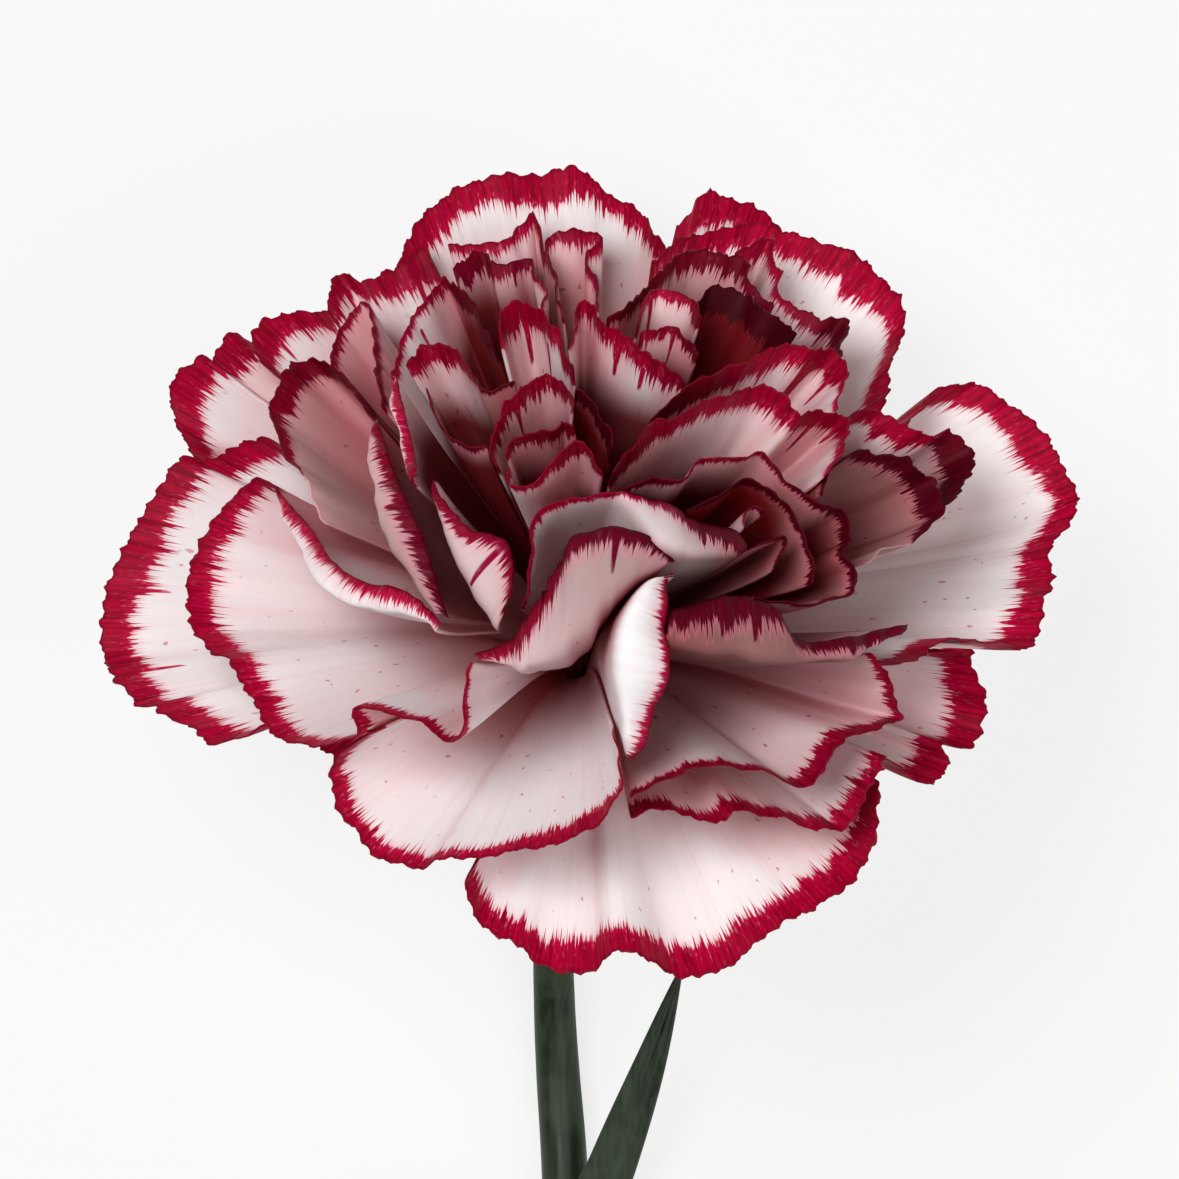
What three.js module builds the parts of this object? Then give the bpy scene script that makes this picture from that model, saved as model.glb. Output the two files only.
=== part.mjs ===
// A cut carnation lying on a table: a full bloom of frilled petals in a green calyx, on a jointed stem
// with narrow leaves. Millimetres, +Z up. The stem lies along -Y and the bloom's face looks up and along +Y.

import * as THREE from "three";

// ---- driving dimensions ---------------------------------------------------------------------------

const MOUTH_HEIGHT = 30; // the calyx mouth above the table
const AXIS_FROM_UPRIGHT = 42; // degrees between the bloom's axis and straight up
const AXIS_LEAN = 5; // degrees the axis leans sideways, towards +X
const HEART_DEPTH = 10; // the point the petals fan out from, below the calyx mouth
const SPREAD_LENGTH = 20; // distance from the heart over which a petal turns outwards
const SPREAD_POWER = 1.6; // how suddenly it turns

const PETAL_THICKNESS = 0.26;
const CLAW_THICKNESS = 0.13;
const CLAW_TOP = 9; // where a petal's narrow claw opens into its blade, from the heart
const CLAW_LENGTH = 5; // the claw, running down inside the calyx
const CLAW_SHARE = 0.6; // the claw's width as a share of the petal's
const FAN_POWER = 1.4; // how soon the blade reaches its full width
const BLADE_ROWS = 4;

const CALYX_LENGTH = 27;
const CALYX_BELOW = 0.8; // its teeth end this far below the mouth
const CALYX_RADII = [2.3, 4.2, 5.3, 5.7, 5.9]; // outside, from the foot to the mouth
const CALYX_WALL = 0.6;
const CALYX_CUP = 15; // how deep the tube is hollow
const CALYX_RIDGES = 20; // columns round the tube; four to a tooth
const TOOTH_LENGTH = 5;
const TOOTH_FLARE = 0.9; // how far a tooth's tip leans out

const BRACT_TOPS = [5, 11]; // heights of the notches and the points of the scales round the calyx's foot
const BRACT_THICKNESS = 0.6;

const GAP = 0.3; // clearance between neighbouring pieces
const STEM_SIDES = 14;
const NODE_SWELL = 0.95; // extra radius at a joint of the stem
const NODE_HALF = 4.5; // half the length of the swelling
const CUT_SLOPE = 0.9; // the slanted cut at the foot of the stem

const LEAF_ROWS = 10;
const LEAF_THICKNESS = 0.55;
const SHEATH_WRAP = 0.75; // radians either side that a leaf's foot wraps the stem
const SHEATH_SHARE = 0.1; // of the leaf's length

// Each petal is its rim: points in millimetres from the middle of the calyx mouth, to the right, up the
// bloom's face and upwards from the mouth's level, in order from one corner of the fan to the other.
const PETALS = {
  guard_under_left: [
    [-20.5, 3, -15], [-26, 9, -19], [-28.5, 14.5, -23.5], [-27, 18.5, -27.5], [-23, 20.5, -29.7],
    [-18.5, 20.5, -29.8], [-14, 21.5, -29.8], [-10.5, 22.5, -29.4], [-7, 25, -27.5], [-4.5, 27.5, -26.5],
    [-1, 28, -26],
  ],
  guard_under_right: [
    [1, 27.5, -26], [4.5, 27.5, -26.5], [7, 25, -27.5], [10.5, 22.5, -29.4], [14, 21.5, -29.8],
    [18.5, 20.5, -29.8], [23.5, 19.5, -29.7], [28, 16.5, -27], [30, 12, -23], [28, 6.5, -18.5], [23, 2, -15],
  ],
  guard_left_low: [
    [-14.5, -13.5, 4], [-19, -11, 2], [-23.5, -5.5, -1], [-28.5, -2, -5], [-32, 1, -8], [-33, 6, -12],
    [-30, 8.5, -16],
  ],
  guard_right_low: [
    [29, 8.5, -15.5], [32, 5.5, -12], [32, 0.5, -8], [29.5, -4.5, -4], [26, -8.5, -1], [22.5, -11.5, 2],
    [17.5, -14.5, 6],
  ],
  guard_front: [
    [-8.6, -17.2, 26], [-9.2, -19.5, 26], [-8, -22.5, 25.5], [-4, -25, 25], [0, -26.2, 25],
    [3.6, -24.7, 26.5],
    [7, -26.7, 25], [10.8, -26.2, 24.5], [14, -23.6, 24], [18.5, -21.3, 22], [21.5, -18.3, 20.5],
    [23.2, -14.8, 19.5], [23.8, -11.5, 20], [22.5, -9.5, 20.5],
  ],
  front_low_left: [
    [-16.5, -6, 27], [-19.3, -8, 25.5], [-20.2, -10.5, 24.5], [-19.3, -13.5, 24.5], [-16.5, -16, 25.5],
    [-13.7, -17, 26.5], [-11, -16.4, 28], [-7, -16.2, 29], [-3, -15.3, 30], [0.5, -13.7, 31],
    [2.6, -11, 32.3],
    [2.9, -8.8, 33], [2.3, -6, 33.6],
  ],
  front_right: [
    [3.6, -11.5, 31.5], [5.5, -10.6, 31.5], [8.5, -9.4, 31.5], [12, -9.2, 31], [15, -9.9, 29.5],
    [17.2, -10.8, 28],
    [18.6, -9.3, 27.5], [20, -7.3, 27], [22.5, -6, 26], [25.3, -5.2, 24.5], [24.8, -3.3, 25],
    [23.9, -1.8, 26],
    [22.5, -0.5, 27],
  ],
  front_right_under: [
    [3.6, -13, 28.3], [6.2, -12.6, 27.6], [9.8, -13.7, 26.5], [13, -12.8, 26.2], [16, -13.6, 24.7],
    [19, -14.1, 23],
    [21.5, -13, 22.5], [23, -10, 22], [24, -8.3, 21.8],
  ],
  front_right_flank: [
    [6.6, 3.2, 34], [9.5, 4.1, 33.5], [13, 4.3, 32], [15, 3.2, 31.5], [17, 1.1, 31], [20, 1.1, 29.5],
    [23, 1.7, 27], [25.6, 2.1, 24.5],
  ],
  right_low: [
    [23.2, -8.6, 20.5], [24.8, -9.2, 19.5], [27, -10.5, 17.5], [29.3, -9.4, 15.5], [29, -7.5, 15.5],
    [31.5, -7.9, 12.5], [32.2, -6, 11.5], [31.9, -3.5, 12], [31, -1, 13.5], [29.5, 0, 15.5],
  ],
  right_big: [
    [26, 16.5, 8], [27.3, 19.6, 3], [30.5, 21.6, -1], [35, 20.6, -3], [38.2, 17.2, -4], [40.4, 14, -4],
    [40, 10.2, -2], [38.2, 8, 0], [37.7, 3.8, 4], [34.6, 0.1, 9], [30.5, 0.9, 15], [26, -1, 21],
    [23, -0.9, 24.5],
  ],
  top_right_big: [
    [23.5, 18.5, 0], [25, 22.3, -3], [25.8, 25.3, -6], [26, 28.4, -8.5], [23.8, 31.3, -10], [20.8, 33.5, -11],
    [17, 34.8, -12], [13.5, 35.3, -12.5], [10, 34.8, -11], [7.3, 33.4, -8.5], [5.8, 31.5, -6],
  ],
  top_right_small: [
    [7.4, 33.6, -17], [7.6, 35.2, -17], [9, 36.7, -17], [11, 38.2, -17], [13.2, 37.7, -17.5],
    [15, 36.4, -18], [16.3, 34.9, -18.5], [17.2, 33.2, -19],
  ],
  top_left_big: [
    [-15.5, 31, -6], [-14.2, 34.3, -8], [-12, 36.9, -9.5], [-8.5, 39, -10.5], [-4, 39.2, -11],
    [-1.2, 39.9, -11], [0.3, 39.6, -11], [1.7, 38.2, -11.4], [3.6, 37.1, -12], [5.2, 34.9, -12.5],
    [7, 33, -12.5], [8, 31, -12],
  ],
  left_top_outer: [
    [-31.6, 15.4, -4], [-32.8, 17, -4], [-33.8, 19.5, -3], [-33.5, 22.8, -4.5], [-31.8, 24.3, -5.5],
    [-31, 23.6, -5.5], [-29.6, 26, -7], [-27.6, 25.5, -8], [-25, 24.5, -8.5],
  ],
  left_top_second: [
    [-25.2, 22.8, -1], [-27.3, 25, -3.5], [-26.5, 27.2, -5], [-23, 28.2, -6], [-20.3, 27.4, -5],
    [-19.9, 25.8, -3], [-20.8, 23, 1],
  ],
  left_outer: [
    [-26.5, -6, 17], [-29.3, -7.3, 14], [-32.5, -6, 11], [-35, -4.2, 9], [-36.6, -4.6, 7], [-38.3, -2.3, 4],
    [-39.5, 2.5, 0], [-38.8, 5.8, -1], [-37, 10, -2], [-35, 14, -2.5], [-31.5, 15.6, -1], [-27.5, 16.8, 1],
    [-25.3, 17.3, 3], [-24, 15, 6],
  ],
  left_mid: [
    [-8.7, -0.9, 33.2], [-9.6, -3.4, 32.8], [-11, -6.8, 31.5], [-13, -5.6, 31], [-16.2, -4.8, 29.5],
    [-17.6, -4.4, 28.8], [-18.5, -6.7, 27], [-23.8, -7.2, 23], [-26.4, -5, 20], [-28.6, -0.5, 18],
    [-31.6, 1.8, 14], [-32, 5.5, 12], [-30.5, 9.5, 12], [-29.3, 11.6, 11.5], [-26.3, 13.6, 13],
    [-23.4, 11.5, 18], [-20, 7, 24.5], [-17.8, 5.6, 27], [-14.5, 5, 29.5], [-11.5, 2.4, 32.5],
  ],
  left_inner: [
    [-20.6, 10.3, 20.5], [-23.6, 15, 15], [-25.4, 20, 9], [-24.2, 22.6, 6.5], [-22.5, 23.7, 6],
    [-20.3, 22.7, 8.5],
    [-18.3, 20.6, 12], [-16.4, 18.2, 16.5],
  ],
  left_peak: [
    [-20.6, 22.6, 5], [-20, 26.4, 1.5], [-18.2, 28.4, 1], [-17.2, 25, 6], [-16.4, 19.5, 13],
  ],
  left_crest: [
    [-21.2, 28.5, -4], [-20.4, 31, -6], [-18.3, 30.7, -5], [-15.5, 31.3, -5], [-13.2, 33, -6],
    [-12.2, 31.6, -4],
  ],
  upper_left_blade: [
    [-15.7, 22, 14], [-15, 25, 11], [-13, 28.8, 7], [-11.6, 30.6, 4.5], [-9.8, 28.8, 7.5], [-8.6, 26.6, 11],
    [-7.2, 25.6, 13],
  ],
  top_inner_back: [
    [-11.5, 33.8, -5.5], [-9.5, 33.4, -4.5], [-7, 33.6, -4], [-5.3, 34.8, -5], [-4.3, 36, -6],
    [-3.4, 33, -2.5],
    [-2.4, 30, 2], [-1.6, 27, 7],
  ],
  top_inner_mid: [
    [-11, 31.5, 0], [-9, 32.2, -1], [-7.5, 31.3, 1], [-6.3, 31.6, 1], [-5, 32.2, 0.5], [-3.9, 30.8, 2.5],
    [-3.3, 28, 7],
  ],
  top_center_flag: [
    [-3.3, 33.6, -4.3], [-1.8, 34.4, -5], [0.6, 34.5, -5.2], [0.7, 33.2, -4], [0.1, 31.5, -2.5],
    [0.9, 28.5, 1.5],
  ],
  center_left_cup: [
    [-14.4, 22.8, 17], [-13.2, 24.1, 16], [-11, 24.2, 16.5], [-9.4, 23, 18.5], [-8.1, 20.8, 21.8],
    [-6.5, 21, 21.8], [-5.6, 21.7, 21.3],
  ],
  center_flame: [
    [-7, 25.5, 15], [-6.3, 27.5, 13], [-4.7, 28.2, 12.5], [-3, 26.8, 15], [-1.8, 24.8, 17.5], [-1, 22.4, 20],
  ],
  center_bud_top: [
    [-6.9, 14.8, 27.4], [-7.1, 17, 26], [-6.7, 19, 24.6], [-5.6, 20.8, 23.3], [-4.2, 22, 22.3],
    [-2.8, 22.2, 22.4], [-1.5, 21.3, 23.4], [-1.6, 19.2, 25.2],
  ],
  center_bud_back: [
    [-6.1, 15.6, 27.4], [-5.9, 16.9, 26.4], [-4.8, 17.5, 26.2], [-3, 17.9, 26.1], [-1.7, 18.7, 25.8],
    [-0.6, 18.2, 26.2],
  ],
  center_bud_front: [
    [-6.1, 14.7, 28.4], [-5.1, 13.4, 29.8], [-3.9, 13.6, 29.8], [-2.9, 14.6, 29.3], [-2, 15.7, 28.5],
    [-0.8, 16.5, 28], [0.5, 15.8, 28.3], [1.2, 14.2, 29.2],
  ],
  center_bud_right: [
    [-1, 20.9, 23.9], [0.2, 20.3, 24.3], [1.1, 19, 25.2], [1.7, 17.4, 26.6], [2, 16, 27.8],
  ],
  center_slope: [
    [-1.1, 24.4, 16.1], [-0.9, 26.6, 13.5], [0.1, 28.4, 11.5], [1.6, 27, 13.3], [3.4, 25.1, 15.9],
    [5.4, 23.5, 17.5], [8, 21.6, 18.5],
  ],
  rosette_ring: [
    [1.7, 27, 11], [4, 28.7, 8], [6.3, 30.8, 4.5], [8.2, 32.4, 2], [10.5, 32.6, 0.5], [12.7, 32.2, 0],
    [13.6, 30.3, 2.5], [15.5, 28.2, 4],
  ],
  rosette_fan: [
    [12.6, 32.8, -4], [15.3, 33.6, -6], [15.9, 31.2, -3], [16.8, 28.8, -0.5], [18.6, 27.8, 0],
    [21.3, 27.2, -0.5],
    [20.9, 25, 3], [20.5, 23.5, 6],
  ],
  rosette_bud_back: [
    [4.3, 26.6, 12.5], [4.9, 27.9, 11], [6.6, 29.3, 9.5], [8.3, 28.6, 9.7], [9.3, 27, 11],
  ],
  rosette_bud_front: [
    [4.6, 25.4, 14.8], [5.8, 26, 13.8], [7.3, 26.3, 13], [8.4, 25.2, 13.8], [9, 23.9, 14.8],
  ],
  rosette_dark: [
    [9, 28.5, 7], [11, 29.6, 5.5], [13.3, 29, 5.5], [15, 27.4, 6.5], [17.5, 26, 6],
  ],
  right_mid_fan: [
    [5, 19.3, 21.5], [8, 21.2, 19.5], [11, 22.6, 17], [14.5, 23.6, 14.5], [17.5, 24.4, 12], [20.3, 24, 10],
    [20.9, 21.5, 13], [20.6, 19.5, 15.5],
  ],
  right_mid_second: [
    [2, 14.3, 29.5], [4.3, 16.6, 27.3], [7.2, 19, 24.3], [10.5, 20.2, 21.8], [13.5, 20.6, 19.5],
    [15.8, 20.3, 18], [17, 18.6, 19], [19, 19, 17], [20.6, 18.8, 16], [20.8, 17.2, 18.3],
    [20.2, 15.5, 20.6], [19.5, 13.9, 22],
  ],
  right_band: [
    [20.7, 17.5, 16.5], [21.5, 19.1, 13], [24, 19.6, 10], [26.3, 18, 9.5], [28.5, 17.3, 8], [30.2, 18, 5.5],
    [31.3, 16.2, 5.5], [31.1, 14, 8], [29.3, 12, 12],
  ],
  right_round: [
    [19.2, 12.5, 22.5], [20.4, 14.8, 20], [22.8, 15.8, 17.5], [25.5, 15.4, 15], [28, 14.2, 13],
    [29, 11.8, 14],
    [28, 10.2, 16], [25.2, 8.4, 19], [22.5, 7.4, 21.8],
  ],
  right_hood: [
    [3, 13.3, 31], [5.2, 14.3, 29.5], [7.8, 14.2, 28.5], [9.2, 15.4, 27], [11.5, 15.8, 25.7],
    [13.9, 16.3, 24],
    [16, 14, 24], [18.8, 11.6, 23.5], [21.1, 10.8, 21.8], [21.3, 9, 22.5],
  ],
  cavity_back: [
    [8, 11.3, 30.7], [10.5, 12.3, 29.4], [12.6, 13.6, 27.6], [14.8, 12.8, 26.8], [17, 10.7, 26.3],
    [18, 8, 26.7],
    [18.2, 5.4, 27.6],
  ],
  cavity_right: [
    [21.2, 8.6, 23.3], [20.7, 8, 24], [21.6, 6.2, 23.5], [20.8, 4.6, 25], [19, 3.8, 26.5], [16, 4.4, 28.5],
    [13.5, 4.5, 30],
  ],
  cavity_curl: [
    [12.6, 9.8, 29.6], [12.8, 11, 29.2], [13.5, 11.5, 28.6], [14.3, 11.1, 28.6],
  ],
  center_wave: [
    [-5.3, 3.6, 34], [-4.7, 7, 33], [-3.8, 10.5, 31.5], [-1.5, 12.3, 31], [2, 12.9, 30.5], [5.5, 12, 30.5],
    [8.5, 10.6, 30.5], [11, 9.8, 30.2], [12.4, 9.2, 30],
  ],
  center_wave_under: [
    [13, 8.3, 29.8], [14.4, 8.7, 29], [15.5, 9.2, 28.3], [15.8, 8, 28.4], [15.2, 6.3, 29.3],
  ],
  center_front_wave: [
    [-9, -0.1, 33.5], [-6.8, 0.9, 34], [-4.6, 2.8, 34.5], [-2.9, 5.6, 34], [-1.6, 8, 33.2], [0.5, 9.2, 33],
    [3, 9.5, 33], [5.3, 8.7, 33], [7.2, 7.3, 33],
  ],
  white_narrow: [
    [7.1, 6.4, 33.5], [6.6, 4.8, 34.3], [6.3, 1.5, 35.2], [6.3, -1.5, 35.5], [5.7, -4.5, 35.2],
    [4.8, -7.2, 34.3],
    [3.7, -8.2, 33.7],
  ],
  left_blade_outer: [
    [-16.6, 18.7, 20.5], [-15.9, 16.7, 23], [-15.2, 14.5, 25.3], [-14, 11.7, 27.9], [-12.7, 8.6, 30],
    [-11.6, 5.2, 31.6], [-10.8, 2.6, 33],
  ],
  left_blade_middle: [
    [-15.1, 22.3, 18.7], [-14.6, 20, 22], [-14.1, 18, 24.6], [-13.6, 16, 26.3], [-13, 13.7, 28.1],
  ],
  left_blade_inner: [
    [-12.3, 14, 28.5], [-11, 11.8, 29.7], [-9.3, 9.9, 31], [-7.2, 9.3, 31.5], [-5.9, 8.2, 31.9],
    [-5.6, 5.9, 32.7], [-6.3, 3.4, 33.3],
  ],
  left_lip: [
    [-12.8, 21, 21.2], [-12.1, 19.2, 23.3], [-11, 17.5, 25.5], [-9.3, 16.4, 27.2], [-7.9, 16.3, 27.7],
  ],
};

// ---- the bloom's own frame ------------------------------------------------------------------------

const MOUTH = new THREE.Vector3(0, 0, MOUTH_HEIGHT);
const TILT = THREE.MathUtils.degToRad(AXIS_FROM_UPRIGHT);
const LEAN = THREE.MathUtils.degToRad(AXIS_LEAN);
const ACROSS = new THREE.Vector3(Math.cos(LEAN), -Math.sin(LEAN), 0);
const AXIS = new THREE.Vector3(Math.sin(LEAN), Math.cos(LEAN), 0)
  .multiplyScalar(Math.sin(TILT))
  .add(new THREE.Vector3(0, 0, Math.cos(TILT)));
const OVER = new THREE.Vector3().crossVectors(AXIS, ACROSS); // completes the frame, along the bloom's face
const HEART = MOUTH.clone().addScaledVector(AXIS, -HEART_DEPTH);

// The share of its full lean that a petal has reached at a distance from the heart.
const spread = (distance) => 1 - Math.exp(-((distance / SPREAD_LENGTH) ** SPREAD_POWER));

// A rim point as its lean away from the axis (a flat map of directions, in radians) and its distance.
function toFlow([right, up, rise]) {
  const fromHeart = new THREE.Vector3(right, up, rise).add(MOUTH).sub(HEART);
  const distance = fromHeart.length();
  const angle = Math.acos(fromHeart.dot(AXIS) / distance);
  const side = Math.atan2(fromHeart.dot(OVER), fromHeart.dot(ACROSS));
  const lean = angle / spread(distance);
  return new THREE.Vector3(lean * Math.cos(side), lean * Math.sin(side), distance);
}

function fromFlow(leanX, leanY, distance) {
  const lean = Math.hypot(leanX, leanY);
  const angle = lean * spread(distance);
  const side = Math.atan2(leanY, leanX);
  const outwards = Math.sin(angle) * distance;
  return HEART.clone()
    .addScaledVector(AXIS, Math.cos(angle) * distance)
    .addScaledVector(ACROSS, Math.cos(side) * outwards)
    .addScaledVector(OVER, Math.sin(side) * outwards);
}

// ---- solids ---------------------------------------------------------------------------------------

// A closed sheet about a grid of points, rows[j][i], with a thickness for each row.
function sheetSolid(rows, thicknesses) {
  const across = rows[0].length;
  const along = rows.length;
  const at = (j, i) => rows[Math.min(Math.max(j, 0), along - 1)][Math.min(Math.max(i, 0), across - 1)];
  const faces = [[], []];
  for (let j = 0; j < along; j++)
    for (let i = 0; i < across; i++) {
      const sideways = at(j, i + 1).clone().sub(at(j, i - 1));
      const onwards = at(j + 1, i).clone().sub(at(j - 1, i));
      const normal = sideways.cross(onwards).normalize();
      faces[0].push(at(j, i).clone().addScaledVector(normal, thicknesses[j] / 2));
      faces[1].push(at(j, i).clone().addScaledVector(normal, -thicknesses[j] / 2));
    }
  const points = [...faces[0], ...faces[1]];
  const far = across * along;
  const index = [];
  const quad = (a, b, c, d) => index.push(a, b, c, a, c, d);
  for (let j = 0; j + 1 < along; j++)
    for (let i = 0; i + 1 < across; i++) {
      const a = j * across + i;
      quad(a, a + 1, a + across + 1, a + across);
      quad(far + a, far + a + across, far + a + across + 1, far + a + 1);
    }
  const border = [];
  for (let i = 0; i < across - 1; i++) border.push(i);
  for (let j = 0; j < along - 1; j++) border.push(j * across + across - 1);
  for (let i = across - 1; i > 0; i--) border.push((along - 1) * across + i);
  for (let j = along - 1; j > 0; j--) border.push(j * across);
  border.forEach((a, k) => {
    const b = border[(k + 1) % border.length];
    quad(b, a, far + a, far + b);
  });
  return new THREE.BufferGeometry()
    .setAttribute("position", new THREE.Float32BufferAttribute(points.flatMap((p) => p.toArray()), 3))
    .setIndex(index);
}

// The middle sheet of a petal: a narrow claw, then ribs that open like a fan and run to the rim.
function petalRows(rim) {
  const line = new THREE.CatmullRomCurve3(rim.map(toFlow), false, "centripetal");
  const steps = rim.length < 8 ? 2 * (rim.length - 1) : rim.length - 1;
  const columns = Array.from({ length: steps + 1 }, (_, i) => i / steps);
  const reach = columns.map((u) => line.getPoint(u).z);
  const blade = Array.from({ length: BLADE_ROWS + 1 }, (_, j) => {
    const v = j / BLADE_ROWS;
    const width = 1 - (1 - CLAW_SHARE) * (1 - v) ** FAN_POWER;
    return columns.map((u, i) => {
      const rib = line.getPoint(0.5 + (u - 0.5) * width);
      return fromFlow(rib.x, rib.y, CLAW_TOP + (reach[i] - CLAW_TOP) * v);
    });
  });
  const foot = blade[0].map((point) => point.clone().addScaledVector(AXIS, -CLAW_LENGTH));
  return [foot, ...blade];
}

// A closed solid through rings of points. The first and last rings are capped, or joined to each other.
function tubeSolid(rings, joined = false) {
  const sides = rings[0].length;
  const points = rings.flat();
  const index = [];
  const bands = joined ? rings.length : rings.length - 1;
  for (let j = 0; j < bands; j++)
    for (let i = 0; i < sides; i++) {
      const next = (i + 1) % sides;
      const a = j * sides;
      const b = ((j + 1) % rings.length) * sides;
      index.push(a + i, a + next, b + next, a + i, b + next, b + i);
    }
  const caps = joined ? [] : [[0, 1], [rings.length - 1, -1]];
  for (const [ring, turn] of caps) {
    const middle = points.length;
    points.push(rings[ring].reduce((sum, p) => sum.add(p), new THREE.Vector3()).divideScalar(sides));
    for (let i = 0; i < sides; i++) {
      const a = ring * sides + i;
      const b = ring * sides + ((i + 1) % sides);
      if (turn > 0) index.push(middle, b, a);
      else index.push(middle, a, b);
    }
  }
  return new THREE.BufferGeometry()
    .setAttribute("position", new THREE.Float32BufferAttribute(points.flatMap((p) => p.toArray()), 3))
    .setIndex(index);
}

// ---- calyx ----------------------------------------------------------------------------------------

// A point of the calyx, by its height up from the foot, the angle round it and its radius.
function calyxPoint(height, angle, radius) {
  return MOUTH.clone()
    .addScaledVector(AXIS, height - CALYX_LENGTH - CALYX_BELOW)
    .addScaledVector(ACROSS, radius * Math.cos(angle))
    .addScaledVector(OVER, radius * Math.sin(angle));
}

// The outside radius of the tube, eased through the listed radii.
const calyxProfile = new THREE.CatmullRomCurve3(
  CALYX_RADII.map((radius, i) => new THREE.Vector3(i, radius, 0)),
);
const calyxRadius = (height) => calyxProfile.getPoint(Math.min(Math.max(height / CALYX_LENGTH, 0), 1)).y;

// A cup about the calyx's axis with a pointed rim: rings of [height, radius] outside, the points between
// heights `notch` and `tip`, then rings inside.
function pointedCup({ outside, inside, points, notch, tip, flare, wall, bottomless }) {
  const columns = Array.from({ length: CALYX_RIDGES }, (_, i) => i);
  const angle = (i) => (i / CALYX_RIDGES) * 2 * Math.PI;
  const perPoint = CALYX_RIDGES / points;
  const ring = ([height, radius]) => columns.map((i) => calyxPoint(height, angle(i), radius));
  const rim = (inset) =>
    columns.map((i) => {
      const rise = 1 - Math.abs((i % perPoint) / perPoint - 0.5) * 2;
      const height = notch + (tip - notch) * rise;
      return calyxPoint(height, angle(i), calyxRadius(height) + flare[0] + flare[1] * rise - inset);
    });
  return tubeSolid([...outside.map(ring), rim(0), rim(wall), ...inside.map(ring)], bottomless);
}

function calyxSolid() {
  const notch = CALYX_LENGTH - TOOTH_LENGTH;
  const outer = (height) => [height, calyxRadius(height)];
  const inner = (height) => [height, calyxRadius(height) - CALYX_WALL];
  return pointedCup({
    outside: [0, 1.2, 5, 10, 15, notch - 1.5].map(outer),
    inside: [notch - 1.5, 17, CALYX_LENGTH - CALYX_CUP].map(inner),
    points: 5,
    notch,
    tip: CALYX_LENGTH,
    flare: [0, TOOTH_FLARE],
    wall: CALYX_WALL / 2,
    bottomless: false,
  });
}

// Four small pointed scales, joined at their feet, that hug the bottom of the calyx.
function bractSolid() {
  const inner = (height) => calyxRadius(height) + GAP;
  const [notch, tip] = BRACT_TOPS;
  return pointedCup({
    outside: [1.5, 3, notch - 0.5].map((height) => [height, inner(height) + BRACT_THICKNESS]),
    inside: [notch - 0.5, 3, 1.5].map((height) => [height, inner(height)]),
    points: 4,
    notch,
    tip,
    flare: [GAP + BRACT_THICKNESS, 0.5],
    wall: BRACT_THICKNESS * 0.7,
    bottomless: true,
  });
}

// ---- stem and leaves ------------------------------------------------------------------------------

// The stem's middle line, from just under the calyx to the cut, and its radius at each point.
const STEM = [
  { at: [0, 0, 0], radius: 1.85 }, // set below, from the calyx
  { at: [0, 0, 0], radius: 1.75 },
  { at: [-2.6, -24.6, 5.1], radius: 1.7 },
  { at: [-2.6, -30, 3.0], radius: 1.75 },
  { at: [-2.3, -36, 2.05], radius: 1.85 },
  { at: [-1.8, -43, 2.2], radius: 1.95 },
  { at: [-1.3, -57, 2.95], radius: 2.0 },
  { at: [-0.6, -80, 2.3], radius: 2.05 },
  { at: [-1.2, -105, 2.4], radius: 2.1 },
  { at: [-2.6, -128, 3.1], radius: 2.15 },
  { at: [-3.4, -155, 2.5], radius: 2.2 },
  { at: [-3.2, -182, 2.3], radius: 2.25 },
  { at: [-2.4, -206, 2.35], radius: 2.3 },
];
const JOINTS = [6, 9]; // which points of the stem are its swollen joints
STEM[0].at = calyxPoint(-GAP, 0, 0).toArray();
STEM[1].at = calyxPoint(-GAP - 2.2, 0, 0).toArray();

// A smooth line through a list of points.
function smoothLine(points) {
  return new THREE.CatmullRomCurve3(points.map((point) => new THREE.Vector3(...point)), false, "centripetal");
}

const stemLine = smoothLine(STEM.map((point) => point.at));
const stemWidth = new THREE.CatmullRomCurve3(STEM.map((point, i) => new THREE.Vector3(i, point.radius, 0)));

function stemRadius(t) {
  const point = stemLine.getPoint(t);
  const swell = JOINTS.reduce((sum, joint) => {
    const away = point.distanceTo(stemLine.getPoint(joint / (STEM.length - 1)));
    return sum + NODE_SWELL * Math.exp(-((away / NODE_HALF) ** 2) * 3);
  }, 0);
  return stemWidth.getPoint(t).y + swell;
}

// The frame across the stem at t: sideways, and up from the table.
function stemFrame(t) {
  const along = stemLine.getTangent(t);
  const sideways = new THREE.Vector3(0, 0, 1).cross(along).normalize();
  const up = along.clone().cross(sideways);
  return { at: stemLine.getPoint(t), along, sideways, up };
}

function stemSolid() {
  const aboutJoint = [-0.4, -0.2, -0.1, 0, 0.1, 0.2, 0.4];
  const jointStations = JOINTS.flatMap((joint) => aboutJoint.map((step) => joint + step));
  const stations = [...STEM.keys(), 0.5, 1.5, 2.5, ...jointStations];
  const rings = [...new Set(stations)].sort((a, b) => a - b).map((station) => {
    const { at, along, sideways, up } = stemFrame(station / (STEM.length - 1));
    const radius = stemRadius(station / (STEM.length - 1));
    const last = station === STEM.length - 1;
    return Array.from({ length: STEM_SIDES }, (_, i) => {
      const angle = (i / STEM_SIDES) * 2 * Math.PI;
      const across = radius * Math.cos(angle);
      const above = radius * Math.sin(angle);
      const point = at.clone().addScaledVector(sideways, across).addScaledVector(up, above);
      return last ? point.addScaledVector(along, -CUT_SLOPE * above) : point;
    });
  });
  return tubeSolid(rings);
}

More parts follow.
